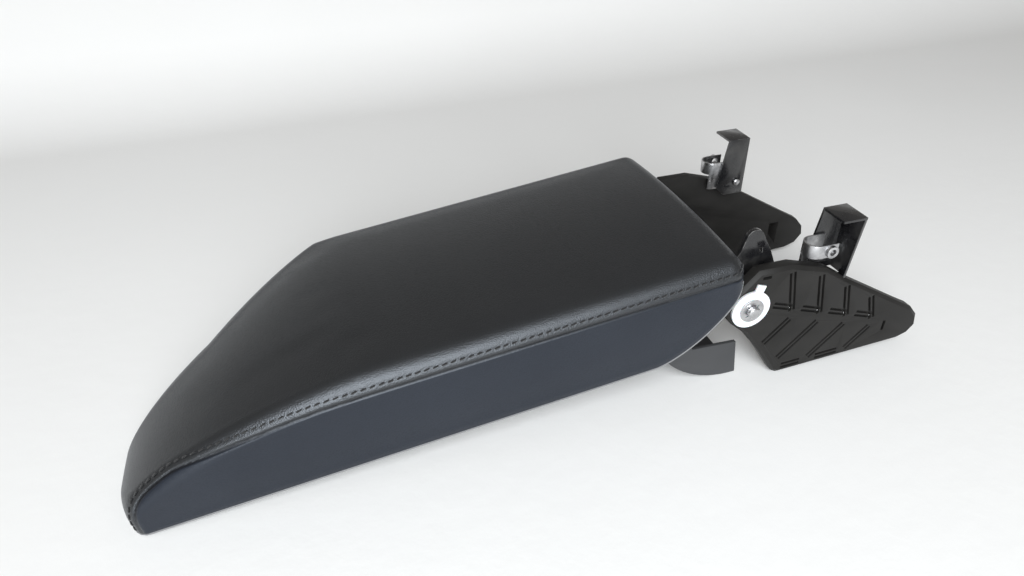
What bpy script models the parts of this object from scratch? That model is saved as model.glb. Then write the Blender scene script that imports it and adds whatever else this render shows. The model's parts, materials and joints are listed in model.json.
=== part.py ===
"""Center console armrest lid with its rear hinge, at real size in metres.

The lid is modelled level in its own frame, with the hinge axis along Y through X = 0, Z = 0
and the nose toward -X, then tipped about that axis until the nose rests on the ground.
The side plates and their clips are modelled upright, straight in the world's directions.
"""
import math

import bmesh
import bpy
from mathutils import Vector

MM = 0.001

# Gap kept between pieces that touch
FIT = 0.3 * MM

# How the part stands
AXIS_HEIGHT = 61.5 * MM

# Pad, outside sizes
PAD_WIDTH = 165.0 * MM
PAD_LENGTH = 376.5 * MM
PAD_HEIGHT = 60.5 * MM
PAD_BEHIND_AXIS = 8.0 * MM
PAD_BELOW_AXIS = 14.0 * MM
PAD_CROWN = 3.4 * MM
SHOULDER_RADIUS = 12.0 * MM
REAR_EDGE_RADIUS = 9.0 * MM
HEEL_LENGTH = 60.0 * MM
HEEL_HEIGHT = 48.0 * MM
HEEL_POWER = 1.5
BOTTOM_CHAMFER = 2.0 * MM

# Pad nose: where the top starts to fall, where the right side starts to sweep in, and the tip
FALL_TO_TIP = 152.5 * MM
FALL_POWER = 1.55
SWEEP_TO_TIP = 136.5 * MM
SWEEP_POWER = 1.18
TIP_FROM_LEFT = 59.0 * MM
TIP_CORNER_LENGTH = 17.0 * MM
SWEEP_SHOULDER = 35.0 * MM
TIP_FLAT = 0.6 * MM
LEAST_EDGE = 2.0 * MM
MOST_SHOULDER_SHARE = 0.7
MOST_ROUND_SHARE = 0.8
MOST_CHAMFER_SHARE = 0.2

# Pad layers
LEATHER = 1.8 * MM
FOAM_SIDE = 8.4 * MM
FOAM_SHORT = 3.0 * MM
CORE_TOP_ABOVE_AXIS = 8.0 * MM
CORE_BOTTOM_BELOW_AXIS = 6.0 * MM
CORE_REAR = 48.0 * MM
CORE_FROM_TIP = 40.5 * MM
CORE_WALL = 2.6 * MM
CORE_CELLS_ALONG = 5
CORE_SOLID_ROWS = 2
CORE_CELLS_ACROSS = 3
PANEL_THICKNESS = 3.8 * MM
PANEL_REAR = 102.0 * MM

# Hinge pocket in the back of the pad
POCKET_WALL = 3.0 * MM
POCKET_ROOF = 33.0 * MM

# Hinge rod, bushings and star rings
ROD_DIAMETER = 7.8 * MM
ROD_END_PROUD = 3.2 * MM
ROD_DOME = 1.2 * MM
BUSHING_FLANGE_DIAMETER = 26.0 * MM
BUSHING_FLANGE = 1.8 * MM
BUSHING_SLEEVE_DIAMETER = 12.0 * MM
BUSHING_TAB_WIDTH = 6.0 * MM
BUSHING_TAB_REACH = 4.5 * MM
BUSHING_TAB_ANGLE = math.radians(73.0)
STAR_RING_DIAMETER = 16.0 * MM
STAR_RING_THICKNESS = 0.9 * MM
STAR_RING_NOTCHES = 8
STAR_RING_NOTCH_DEPTH = 1.7 * MM
SPACER_DIAMETER = 14.0 * MM

# Side plates
PLATE_FROM_PAD_SIDE = 20.5 * MM
PLATE_THICKNESS = 8.5 * MM
PLATE_CHAMFER = 2.2 * MM
PLATE_FRONT_RADIUS = 15.0 * MM
PLATE_LENGTH = 140.5 * MM
PLATE_TOP_CORNERS = ((3.5, 25.5), (26.0, 25.5), (53.0, 17.5), (69.0, 7.0), (120.5, -23.5))
PLATE_TIP_CORNERS = ((-8.5, -30.0), (-1.5, -38.0), (0.0, -46.0), (-5.5, -53.0), (-14.0, -56.0))
PLATE_HEEL_CORNERS = ((32.0, -61.5), (28.0, -59.0), (13.0, -36.5), (0.5, -20.5))
PLATE_SLOT_PLACE = (111.0, -40.0)
PLATE_SLOT_LIP = 1.5 * MM
PLATE_SLOT_FLARE = 3.5 * MM
PLATE_NOTCH_PLACE = (8.6, 20.6)
PLATE_NOTCH_WIDTH = 6.0 * MM
PLATE_NOTCH_HEIGHT = 2.2 * MM
PLATE_NOTCH_DEPTH = 3.0 * MM
GROOVE_WIDTH = 4.8 * MM
GROOVE_BEAD = 1.2 * MM
GROOVE_DEPTH = 2.0 * MM
GROOVE_FIRST_X = 26.5 * MM
GROOVE_FIRST_FOOT = -9.0 * MM
GROOVE_PITCH = 22.2 * MM
GROOVE_FALL = 7.2 * MM
GROOVE_LEAN = 5.5 * MM
GROOVE_TO_EDGE = 4.5 * MM
LEVEL_GROOVE_LENGTH = 14.5 * MM
LEVEL_GROOVE_DROP = 4.8 * MM
SLANT_BELOW_FOOT = 6.5 * MM
SLANT_LENGTHS = (23.0, 35.0, 32.0, 22.0)
EDGE_GROOVES = ((34.0, 48.0), (60.0, 77.0))
EDGE_GROOVE_HEIGHT = 6.0 * MM
PLATE_SLOT_WIDTH = 2.2 * MM
PLATE_SLOT_LENGTH = 8.0 * MM

# Steel hinge arms
ARM_FROM_PAD_SIDE = 33.0 * MM
ARM_THICKNESS = 3.0 * MM
ARM_FOOT_REACH = 96.0 * MM
ARM_FOOT_WIDTH = 22.0 * MM
ARM_SLOT_LENGTH = 4.0 * MM
ARM_SLOT_WIDTH = 2.0 * MM
ARM_SLOT_PLACE = (17.5, 27.0)
ARM_EYE_RADIUS = 12.0 * MM
ARM_NECK = 2.0 * MM
FAN_RADIUS = 6.0 * MM
FAN_MIDDLE = (13.0, 37.0)
FAN_BACK_CORNERS = ((15.0, -6.0), (24.0, 4.0), (27.5, 15.0), (24.5, 25.0), (21.0, 33.0))
FAN_FRONT_CORNERS = ((4.0, 31.0), (-2.0, 22.0), (-12.0, 14.0))

# Rear cover
COVER_RADIUS = 61.2 * MM
COVER_WALL = 2.4 * MM
COVER_HALF_WIDTH = PAD_WIDTH / 2 - 22.5 * MM
COVER_BACK_ANGLE = math.radians(-91.5)
COVER_FRONT_ANGLE = math.radians(-150.0)
COVER_CHEEK_TOP = 30.0 * MM
COVER_CHEEK_BACK_TOP = 35.0 * MM
COVER_KNEE_SLOPE = 0.5
COVER_CHEEK_FOOT = 9.6 * MM
COVER_CHEEK_HEAD = 19.2 * MM

# Clip brackets
STEEL = 1.5 * MM
CLIP_INSIDE_PLATE = 8.0 * MM
CLIP_PAST_PLATE = 3.0 * MM
CLIP_FOOT_PAST_PLATE = -1.5 * MM
CLIP_FRONT = 52.0 * MM
CLIP_BACK = 68.5 * MM
CLIP_TOP = 53.0 * MM
CLIP_FOOT_FRONT = 46.0 * MM
CLIP_FOOT = 9.0 * MM
CLIP_CORNER = 7.0 * MM
TONGUE_WIDTH = 5.0 * MM
TONGUE_DEPTH = 9.0 * MM
RIVET_DIAMETER = 3.2 * MM
RIVET_HEAD = 5.6 * MM
RIVET_HEAD_HEIGHT = 1.4 * MM
RIVET_X = 62.5 * MM
RIVET_Z = 18.5 * MM

# Spring clips
SPRING_STEEL = 1.0 * MM
SPRING_NOSE = 37.0 * MM
SPRING_BEND_RADIUS = 7.0 * MM
SPRING_BOTTOM = 26.5 * MM
SPRING_TAB_BOTTOM = 14.5 * MM
SPRING_TOP = 35.5 * MM
SPRING_BACK_TAB = 66.5 * MM
SPRING_OUTER_END = 56.0 * MM
SPRING_STEP = 4.0 * MM
SPRING_COLLAR_DIAMETER = 8.0 * MM
SPRING_COLLAR_HOLE = 4.4 * MM
SPRING_COLLAR_HEIGHT = 2.4 * MM

# Screws
SCREW_DIAMETER = 3.8 * MM
SCREW_HEAD_DIAMETER = 8.0 * MM
SCREW_HEAD_HEIGHT = 1.6 * MM
SCREW_GRIP = 9.0 * MM
PANEL_SCREW_FROM_TIP = 84.5 * MM
PANEL_SCREW_REAR = 130.0 * MM
PANEL_SCREW_FROM_PAD_SIDE = 36.5 * MM
ARM_SCREW_FRONT = 86.0 * MM
ARM_SCREW_REAR = 57.0 * MM
COVER_SCREW_X = 84.0 * MM
COVER_SCREW_OFFSET = 16.0 * MM

# Places that follow from the sizes
PAD_REAR = -PAD_BEHIND_AXIS
PAD_TIP = PAD_REAR - PAD_LENGTH
PAD_FLOOR = -PAD_BELOW_AXIS
PAD_TOP = PAD_FLOOR + PAD_HEIGHT
HALF_WIDTH = PAD_WIDTH / 2
FALL_X = PAD_TIP + FALL_TO_TIP
SWEEP_X = PAD_TIP + SWEEP_TO_TIP
CORE_INSET = LEATHER + FIT + FOAM_SIDE
PANEL_TOP = PAD_FLOOR + PANEL_THICKNESS
PLATE_INNER = HALF_WIDTH - PLATE_FROM_PAD_SIDE
PLATE_OUTER = PLATE_INNER + PLATE_THICKNESS
CLIP_WALL = PLATE_INNER - CLIP_INSIDE_PLATE
CLIP_OUTER = PLATE_OUTER + CLIP_PAST_PLATE
CLIP_FOOT_OUTER = PLATE_OUTER + CLIP_FOOT_PAST_PLATE
ARM_INNER = HALF_WIDTH - ARM_FROM_PAD_SIDE
PANEL_SCREW_OFFSET = HALF_WIDTH - PANEL_SCREW_FROM_PAD_SIDE
SLEEVE_BORE = ROD_DIAMETER + 2 * FIT
PLATE_BORE = BUSHING_SLEEVE_DIAMETER + 2 * FIT
FLANGE_OUTER = PLATE_OUTER + FIT + BUSHING_FLANGE
STAR_OUTER = FLANGE_OUTER + FIT + STAR_RING_THICKNESS
ROD_HALF_LENGTH = STAR_OUTER + ROD_END_PROUD
ARM_OUTER = ARM_INNER + ARM_THICKNESS
ARM_FLOOR = -CORE_BOTTOM_BELOW_AXIS - FIT - ARM_THICKNESS
SCREW_TOP = -CORE_BOTTOM_BELOW_AXIS + SCREW_GRIP

LEFT, RIGHT = -1, 1
SIDES = (("left", LEFT), ("right", RIGHT))


def material(name, color, roughness, metallic=0.0):
    made = bpy.data.materials.new(name)
    made.use_nodes = True
    shader = made.node_tree.nodes["Principled BSDF"]
    shader.inputs["Base Color"].default_value = (*color, 1.0)
    shader.inputs["Roughness"].default_value = roughness
    shader.inputs["Metallic"].default_value = metallic
    made.diffuse_color = (*color, 1.0)
    return made


def make_materials():
    return {
        "leather": material("black_leather", (0.028, 0.030, 0.034), 0.55),
        "foam": material("grey_foam", (0.30, 0.29, 0.26), 0.95),
        "core": material("core_plastic", (0.045, 0.045, 0.048), 0.6),
        "trim": material("dark_grey_trim", (0.075, 0.080, 0.090), 0.5),
        "plate": material("black_plastic", (0.022, 0.021, 0.021), 0.45),
        "nylon": material("white_nylon", (0.80, 0.81, 0.83), 0.4),
        "black_steel": material("black_painted_steel", (0.016, 0.016, 0.017), 0.3, 0.2),
        "zinc": material("zinc_steel", (0.60, 0.60, 0.60), 0.3, 1.0),
        "spring": material("spring_steel", (0.35, 0.35, 0.35), 0.3, 1.0),
    }


def clear_scene():
    for obj in list(bpy.data.objects):
        bpy.data.objects.remove(obj, do_unlink=True)


def empty(name, location, parent=None):
    made = bpy.data.objects.new(name, None)
    made.location = location
    made.parent = parent
    bpy.context.scene.collection.objects.link(made)
    return made


def mesh_object(name, bm, parent=None, surface=None):
    """Turns a bmesh into an object with faces out, smooth but for its sharp edges."""
    bmesh.ops.recalc_face_normals(bm, faces=bm.faces)
    mesh = bpy.data.meshes.new(name)
    bm.to_mesh(mesh)
    bm.free()
    mesh.shade_smooth()
    mesh.set_sharp_from_angle(angle=math.radians(35.0))
    if surface:
        mesh.materials.append(surface)
    obj = bpy.data.objects.new(name, mesh)
    obj.parent = parent
    bpy.context.scene.collection.objects.link(obj)
    return obj


def add_loft(bm, rings):
    """Skins equal closed rings in order and closes both ends."""
    rows = [[bm.verts.new(point) for point in ring] for ring in rings]
    for first, second in zip(rows, rows[1:]):
        for i in range(len(first)):
            j = (i + 1) % len(first)
            bm.faces.new((first[i], first[j], second[j], second[i]))
    bm.faces.new(rows[0])
    bm.faces.new(rows[-1][::-1])


def loft(name, rings, parent=None, surface=None):
    bm = bmesh.new()
    add_loft(bm, rings)
    return mesh_object(name, bm, parent, surface)


def add_prism_y(bm, outline, y_start, y_end):
    """Adds an outline in the XZ plane, carried along Y."""
    add_loft(bm, [[Vector((x, y, z)) for x, z in outline] for y in (y_start, y_end)])


def add_prism_z(bm, outline, z_start, z_end):
    """Adds an outline in the XY plane, carried along Z."""
    add_loft(bm, [[Vector((x, y, z)) for x, y in outline] for z in (z_start, z_end)])


def box_outline(x_start, x_end, y_start, y_end):
    return [(x_start, y_start), (x_end, y_start), (x_end, y_end), (x_start, y_end)]


def in_mm(pairs):
    return [(first * MM, second * MM) for first, second in pairs]


def slot_outline(place, width, length):
    x, z = in_mm([place])[0]
    return box_outline(x - width / 2, x + width / 2, z - length / 2, z + length / 2)


def circle(radius, steps, center=(0.0, 0.0), turn=0.0):
    points = []
    for step in range(steps):
        angle = turn + 2 * math.pi * step / steps
        points.append((center[0] + radius * math.cos(angle), center[1] + radius * math.sin(angle)))
    return points


def arc(radius, start, end, steps, center=(0.0, 0.0)):
    points = []
    for step in range(steps + 1):
        angle = start + (end - start) * step / steps
        points.append((center[0] + radius * math.cos(angle), center[1] + radius * math.sin(angle)))
    return points


def combine(target, operation, *cutters):
    """Applies a Boolean with each cutter, then removes the cutter."""
    for cutter in cutters:
        modifier = target.modifiers.new("cut", "BOOLEAN")
        modifier.operation = operation
        modifier.object = cutter
        modifier.solver = "EXACT"
        bpy.context.view_layer.update()
        graph = bpy.context.evaluated_depsgraph_get()
        mesh = bpy.data.meshes.new_from_object(target.evaluated_get(graph))
        target.modifiers.clear()
        old = target.data
        target.data = mesh
        mesh.name = target.name
        bpy.data.meshes.remove(old)
        bpy.data.objects.remove(cutter, do_unlink=True)
    target.data.shade_smooth()
    target.data.set_sharp_from_angle(angle=math.radians(35.0))


def prism_y(outline, y_start, y_end, name="cutter", parent=None, surface=None):
    bm = bmesh.new()
    add_prism_y(bm, outline, y_start, y_end)
    return mesh_object(name, bm, parent, surface)


def prism_z(outline, z_start, z_end, name="cutter", parent=None, surface=None):
    bm = bmesh.new()
    add_prism_z(bm, outline, z_start, z_end)
    return mesh_object(name, bm, parent, surface)


def rounding(radius, depth):
    """How far a round edge stands back, this deep behind the face that it ends in."""
    if depth >= radius or radius <= 0:
        return 0.0
    return radius - math.sqrt(radius**2 - (radius - depth) ** 2)


def share_to_tip(x, start, inset):
    return min(1.0, max(0.0, (start - x) / (start - PAD_TIP - inset)))


def top_at(x, inset):
    """Height of the pad's shoulders, falling in a curve to the nose."""
    fall = math.sqrt(1.0 - share_to_tip(x, FALL_X, inset) ** FALL_POWER)
    full = PAD_FLOOR + (PAD_HEIGHT - inset) * fall
    return full - rounding(REAR_EDGE_RADIUS, PAD_REAR - inset - x)


def left_at(x, inset):
    """The straight left side, with the small round corner at the tip and at the back."""
    side = -HALF_WIDTH + inset + rounding(REAR_EDGE_RADIUS, PAD_REAR - inset - x)
    into_corner = (PAD_TIP + inset + TIP_CORNER_LENGTH - x) / TIP_CORNER_LENGTH
    if into_corner <= 0:
        return side
    return side + (TIP_FROM_LEFT - inset) * (1 - math.sqrt(max(0.0, 1 - into_corner**2)))


def right_at(x, inset):
    """The right side, straight and then swept in to the tip."""
    share = share_to_tip(x, SWEEP_X, inset)
    across = PAD_WIDTH - TIP_FROM_LEFT - inset
    side = -HALF_WIDTH + TIP_FROM_LEFT + across * (1 - share**SWEEP_POWER) ** (1 / SWEEP_POWER)
    return side - rounding(REAR_EDGE_RADIUS, PAD_REAR - inset - x)


def heel_rise(x, inset):
    """How far the underside has risen at x, where it turns up into the back of the pad."""
    into_heel = 1.0 - (PAD_REAR - inset - x) / HEEL_LENGTH
    if into_heel <= 0:
        return 0.0
    return HEEL_HEIGHT * (1.0 - (1.0 - into_heel**HEEL_POWER) ** (1.0 / HEEL_POWER))


def pad_ring(x, inset, floor, ceiling=PAD_TOP, heel=False, shoulder_steps=4, top_steps=8):
    """One section of the pad at x, drawn in from the outside by inset."""
    left = left_at(x, inset)
    right = right_at(x, inset)
    top = min(top_at(x, inset), ceiling)
    bottom = floor + (heel_rise(x, inset) if heel else 0.0)
    bottom = min(bottom, top - LEAST_EDGE)
    sweep = share_to_tip(x, SWEEP_X, inset)
    most_drop = MOST_SHOULDER_SHARE * (top - (bottom if heel else PAD_FLOOR))
    drop = min(SHOULDER_RADIUS - inset / 2, most_drop)
    right_drop = min(drop + sweep * SWEEP_SHOULDER, most_drop)
    room = min(1.0, MOST_ROUND_SHARE * (right - left) / (drop + right_drop))
    left_round = room * drop
    right_round = room * right_drop
    chamfer = min(BOTTOM_CHAMFER, MOST_CHAMFER_SHARE * min(right - left, top - bottom))
    ring = [(left + chamfer, bottom), (left, bottom + chamfer)]
    for step in range(shoulder_steps):
        angle = math.pi / 2 * step / shoulder_steps
        ring.append((left + left_round * (1 - math.cos(angle)), top - drop * (1 - math.sin(angle))))
    start = left + left_round
    end = right - right_round
    for step in range(top_steps + 1):
        across = step / top_steps
        crown = PAD_CROWN * 4 * across * (1 - across) * (1 - sweep) if ceiling >= PAD_TOP else 0.0
        ring.append((start + (end - start) * across, top + crown))
    for step in range(shoulder_steps - 1, -1, -1):
        angle = math.pi / 2 * step / shoulder_steps
        side = right - right_round * (1 - math.cos(angle))
        ring.append((side, top - right_drop * (1 - math.sin(angle))))
    ring += [(right, bottom + chamfer), (right - chamfer, bottom)]
    return [Vector((x, y, z)) for y, z in ring]


def stations(rear, front, edge_steps=4, body_steps=4, nose_steps=11):
    """Places of the sections, closer together where the outline turns."""
    places = []
    for step in range(edge_steps):
        angle = math.pi / 2 * step / edge_steps
        places.append(rear - REAR_EDGE_RADIUS * (1 - math.cos(angle)))
    straight = rear - REAR_EDGE_RADIUS
    for step in range(body_steps):
        places.append(straight + (FALL_X - straight) * step / body_steps)
    for step in range(nose_steps + 1):
        angle = math.pi / 2 * step / nose_steps
        places.append(FALL_X + (front - FALL_X) * math.sin(angle))
    return places


def pad_stations(inset, short=0.0):
    """The pad's sections. A layer may end short of the tip, but keeps the others' sections."""
    places = stations(PAD_REAR - inset, PAD_TIP + inset + TIP_FLAT)
    return [x for x in places if x >= PAD_TIP + inset + TIP_FLAT + short]


def pad_block(name, inset, floor, heel=False, short=0.0, parent=None, surface=None):
    """The pad's whole outer form, drawn in by inset and reaching down to floor."""
    rings = [pad_ring(x, inset, floor, heel=heel) for x in pad_stations(inset, short)]
    return loft(name, rings, parent, surface)


def core_block(name, grow, floor, parent=None, surface=None):
    """The moulded core's outer form, grown by a clearance where it cuts the foam."""
    inset = CORE_INSET - grow
    ceiling = CORE_TOP_ABOVE_AXIS + grow
    rear = -CORE_REAR + grow
    front = PAD_TIP + CORE_FROM_TIP - grow
    steps = 12
    places = [rear + (front - rear) * step / steps for step in range(steps + 1)]
    rings = [pad_ring(x, inset, floor, ceiling, shoulder_steps=2, top_steps=2) for x in places]
    return loft(name, rings, parent, surface)


def hinge_pocket(rear_of, wall, roof):
    """Cutter for the room that the arms and side plates need in the back of the pad."""
    half = HALF_WIDTH - wall
    below = PAD_FLOOR - PAD_HEIGHT
    return prism_z(box_outline(rear_of, -PAD_REAR, -half, half), below, roof)


def under_heel(inset):
    """Cutter for everything below the heel's curve, from where it starts to the pocket."""
    front = PAD_REAR - HEEL_LENGTH
    steps = 6
    outline = []
    for step in range(steps + 1):
        x = front + (-CORE_REAR + 2 * FIT - front) * step / steps
        outline.append((x, PAD_FLOOR + heel_rise(x, 0.0) + inset))
    outline += [(outline[-1][0], -PAD_HEIGHT), (front, -PAD_HEIGHT)]
    return prism_y(outline, -PAD_WIDTH, PAD_WIDTH)


def leather_cover(lid, surface):
    """Sewn leather over the top, nose and sides, open underneath and at the hinge."""
    cover = pad_block("leather_cover", 0.0, PAD_FLOOR, True, parent=lid, surface=surface)
    inside = pad_block("cutter", LEATHER, PAD_FLOOR - PAD_HEIGHT, parent=lid)
    pocket = hinge_pocket(-CORE_REAR, POCKET_WALL, POCKET_ROOF)
    pocket.parent = lid
    combine(cover, "DIFFERENCE", inside, pocket)


def foam_pad(lid, surface):
    """Moulded foam between the leather and the core."""
    inset = LEATHER + FIT
    foam = pad_block("foam_pad", inset, PANEL_TOP + FIT, False, FOAM_SHORT, lid, surface)
    core = core_block("cutter", FIT, PAD_FLOOR - PAD_HEIGHT, lid)
    pocket = hinge_pocket(-CORE_REAR + FIT, -PAD_WIDTH, POCKET_ROOF + FIT)
    heel = under_heel(inset)
    for cutter in (pocket, heel):
        cutter.parent = lid
    combine(foam, "DIFFERENCE", core, pocket, heel)


def core_cells():
    """Cutter for the cells between the core's ribs, all inside the straight part."""
    bm = bmesh.new()
    rear = -CORE_REAR - CORE_WALL
    length = (rear - SWEEP_X) / CORE_CELLS_ALONG
    half = HALF_WIDTH - CORE_INSET - 2 * CORE_WALL
    width = 2 * half / CORE_CELLS_ACROSS
    roof = CORE_TOP_ABOVE_AXIS - CORE_WALL
    for along in range(CORE_SOLID_ROWS, CORE_CELLS_ALONG):
        for across in range(CORE_CELLS_ACROSS):
            x_end = rear - along * length
            y_start = -half + across * width
            cell = box_outline(
                x_end - length + CORE_WALL, x_end, y_start + CORE_WALL / 2, y_start + width - CORE_WALL / 2
            )
            add_prism_z(bm, cell, PAD_FLOOR, roof)
    return mesh_object("cutter", bm)


def screw_places():
    """Every screw driven up into the core: name, place, and the height its head sits at."""
    panel_seat = PAD_FLOOR + SCREW_HEAD_HEIGHT + FIT
    places = []
    for side_name, side in SIDES:
        y = side * PANEL_SCREW_OFFSET
        places.append((f"panel_screw_rear_{side_name}", -PANEL_SCREW_REAR, y, panel_seat))
        arm_y = side * (ARM_INNER - ARM_FOOT_WIDTH / 2)
        places.append((f"arm_screw_front_{side_name}", -ARM_SCREW_FRONT, arm_y, ARM_FLOOR - FIT))
        places.append((f"arm_screw_rear_{side_name}", -ARM_SCREW_REAR, arm_y, ARM_FLOOR - FIT))
        cover_y = side * COVER_SCREW_OFFSET
        places.append((f"cover_screw_{side_name}", -COVER_SCREW_X, cover_y, panel_seat))
    places.append(("panel_screw_front", PAD_TIP + PANEL_SCREW_FROM_TIP, -PANEL_SCREW_OFFSET / 2, panel_seat))
    return places


def screw_holes(places, radius, z_start, z_end):
    bm = bmesh.new()
    for _, x, y, _ in places:
        add_prism_z(bm, circle(radius, 12, (x, y)), z_start, z_end)
    return mesh_object("cutter", bm)


def lid_core(lid, surface):
    """Moulded plastic core with ribs, which everything in the lid is screwed to."""
    core = core_block("lid_core", 0.0, -CORE_BOTTOM_BELOW_AXIS, lid, surface)
    cells = core_cells()
    holes = screw_holes(screw_places(), SCREW_DIAMETER / 2 + FIT, PAD_FLOOR, SCREW_TOP + FIT)
    for cutter in (cells, holes):
        cutter.parent = lid
    combine(core, "DIFFERENCE", cells, holes)


def footprint(rear, inset):
    """Outline of the pad seen from below, from rear to the tip."""
    places = [rear] + [x for x in pad_stations(inset) if x < rear]
    left = [(x, left_at(x, inset)) for x in places]
    right = [(x, right_at(x, inset)) for x in reversed(places)]
    return left + right


def cut_screw_seats(piece, kind, lid):
    """Cuts the through holes and the sunk seats of one kind of screw in a trim piece."""
    places = [place for place in screw_places() if place[0].startswith(kind)]
    below = PAD_FLOOR - MM
    holes = screw_holes(places, SCREW_DIAMETER / 2 + FIT, below, PANEL_TOP + MM)
    seat_top = PAD_FLOOR + SCREW_HEAD_HEIGHT + 2 * FIT
    seats = screw_holes(places, SCREW_HEAD_DIAMETER / 2 + FIT, below, seat_top)
    for cutter in (holes, seats):
        cutter.parent = lid
    combine(piece, "DIFFERENCE", holes, seats)


def under_panel(lid, surface):
    """Flat trim panel that closes the underside, inside the leather's edge."""
    inset = LEATHER + 2 * FIT
    panel = prism_z(footprint(-PANEL_REAR, inset), PAD_FLOOR, PANEL_TOP, "under_panel", lid, surface)
    for side in (LEFT, RIGHT):
        inner = side * (COVER_HALF_WIDTH + 2 * FIT)
        outer = side * (HALF_WIDTH - inset)
        outline = box_outline(-PANEL_REAR - PANEL_THICKNESS, PAD_REAR - HEEL_LENGTH, inner, outer)
        wing = prism_z(outline, PAD_FLOOR, PANEL_TOP)
        wing.parent = lid
        combine(panel, "UNION", wing)
    cut_screw_seats(panel, "panel", lid)


def cover_profile():
    """The rear cover's section: a strip that goes under the core, then round the axis."""
    outer = COVER_RADIUS
    inner = COVER_RADIUS - COVER_WALL
    strip_low = PAD_FLOOR
    strip_high = PANEL_TOP
    front = -PANEL_REAR + FIT
    outside = arc(outer, COVER_BACK_ANGLE, COVER_FRONT_ANGLE, 12)
    inside = arc(inner, COVER_FRONT_ANGLE, COVER_BACK_ANGLE, 12)
    knee_x = outside[-1][0] + (outside[-1][1] - strip_low) * COVER_KNEE_SLOPE
    points = list(outside)
    points.append((knee_x - COVER_WALL, strip_low))
    points.append((front, strip_low))
    points.append((front, strip_high))
    points.append((knee_x, strip_high))
    points += inside
    return points


def rear_cover(lid, surface):
    """Smooth cover that curves round under the hinge, with a cheek at each side."""
    cover = prism_y(
        cover_profile(), -COVER_HALF_WIDTH, COVER_HALF_WIDTH, "rear_cover", lid, surface
    )
    outside = arc(COVER_RADIUS - COVER_WALL / 2, COVER_BACK_ANGLE, COVER_FRONT_ANGLE, 12)
    low_front = outside[-1]
    back_x = outside[0][0]
    outline = list(outside)
    outline.append((low_front[0] - COVER_WALL, PAD_FLOOR + COVER_WALL / 2))
    outline.append((low_front[0] + COVER_CHEEK_FOOT, PAD_FLOOR + COVER_WALL / 2))
    outline.append((low_front[0] + COVER_CHEEK_HEAD, -COVER_CHEEK_TOP))
    outline.append((back_x, -COVER_CHEEK_BACK_TOP))
    cheeks = []
    for side in (LEFT, RIGHT):
        y_start = side * COVER_HALF_WIDTH
        cheek = prism_y(outline, y_start, y_start - side * COVER_WALL)
        cheek.parent = lid
        cheeks.append(cheek)
    combine(cover, "UNION", *cheeks)
    cut_screw_seats(cover, "cover", lid)
    over_arms = [place for place in screw_places() if place[0].startswith("arm")]
    access_radius = SCREW_HEAD_DIAMETER / 2 + 2 * FIT
    access = screw_holes(over_arms, access_radius, PAD_FLOOR - MM, PANEL_TOP + MM)
    access.parent = lid
    combine(cover, "DIFFERENCE", access)


def arm_outline(side):
    """Side view of an arm. The left one stands up in a rounded fan, and the right one ends in an eye."""
    front = -CORE_REAR + 4 * FIT
    outline = [(front, ARM_FLOOR), (ARM_EYE_RADIUS / 2, ARM_FLOOR)]
    if side == LEFT:
        outline += in_mm(FAN_BACK_CORNERS)
        middle = in_mm([FAN_MIDDLE])[0]
        outline += arc(FAN_RADIUS, math.radians(20.0), math.radians(160.0), 6, middle)
        outline += in_mm(FAN_FRONT_CORNERS)
    else:
        outline += arc(ARM_EYE_RADIUS, math.radians(-35.0), math.radians(125.0), 9)
    return outline + [(front, ARM_NECK)]


def hinge_arm(name, side, lid, surface):
    """Pressed steel arm: an upright web with the pivot hole, and a foot under the core."""
    web_start = side * ARM_INNER
    arm = prism_y(arm_outline(side), web_start, side * ARM_OUTER, name, lid, surface)
    foot_outline = box_outline(
        -ARM_FOOT_REACH, 0.0, side * (ARM_INNER - ARM_FOOT_WIDTH), side * (ARM_INNER + ARM_THICKNESS / 2)
    )
    foot = prism_z(foot_outline, ARM_FLOOR, ARM_FLOOR + ARM_THICKNESS)
    foot.parent = lid
    combine(arm, "UNION", foot)
    bore = prism_y(circle(ROD_DIAMETER / 2 + FIT, 20), web_start - side * MM, side * (ARM_OUTER + MM))
    places = [place for place in screw_places() if place[0].startswith("arm") and place[2] * side > 0]
    holes = screw_holes(places, SCREW_DIAMETER / 2 + FIT, ARM_FLOOR - MM, ARM_FLOOR + ARM_THICKNESS + MM)
    for cutter in (bore, holes):
        cutter.parent = lid
    combine(arm, "DIFFERENCE", bore, holes)
    if side == LEFT:
        outline = slot_outline(ARM_SLOT_PLACE, ARM_SLOT_WIDTH, ARM_SLOT_LENGTH)
        slot = prism_y(outline, web_start - side * MM, side * (ARM_OUTER + MM))
        slot.parent = lid
        combine(arm, "DIFFERENCE", slot)


def screw(name, x, y, seat, lid, surface):
    """Pan-head screw with its head down and its shank up in the core."""
    bm = bmesh.new()
    head = SCREW_HEAD_DIAMETER / 2
    shank = SCREW_DIAMETER / 2
    rings = []
    for radius, z in (
        (head * 0.7, seat - SCREW_HEAD_HEIGHT),
        (head, seat - SCREW_HEAD_HEIGHT * 0.6),
        (head, seat),
        (shank, seat),
        (shank, SCREW_TOP - shank),
        (shank * 0.4, SCREW_TOP),
    ):
        rings.append([Vector((px, py, z)) for px, py in circle(radius, 12, (x, y))])
    add_loft(bm, rings)
    mesh_object(name, bm, lid, surface)


def hinge_rod(base, surface):
    """One plain rod through both side plates and both arms, domed at its ends."""
    bm = bmesh.new()
    radius = ROD_DIAMETER / 2
    half = ROD_HALF_LENGTH
    rings = []
    for share, y in ((0.5, -half), (0.85, -half + ROD_DOME / 3), (1.0, -half + ROD_DOME)):
        rings.append([Vector((px, y, pz)) for px, pz in circle(radius * share, 20)])
    rings += [[Vector((point.x, -point.y, point.z)) for point in ring] for ring in reversed(rings)]
    add_loft(bm, rings)
    mesh_object("hinge_rod", bm, base, surface)


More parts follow.
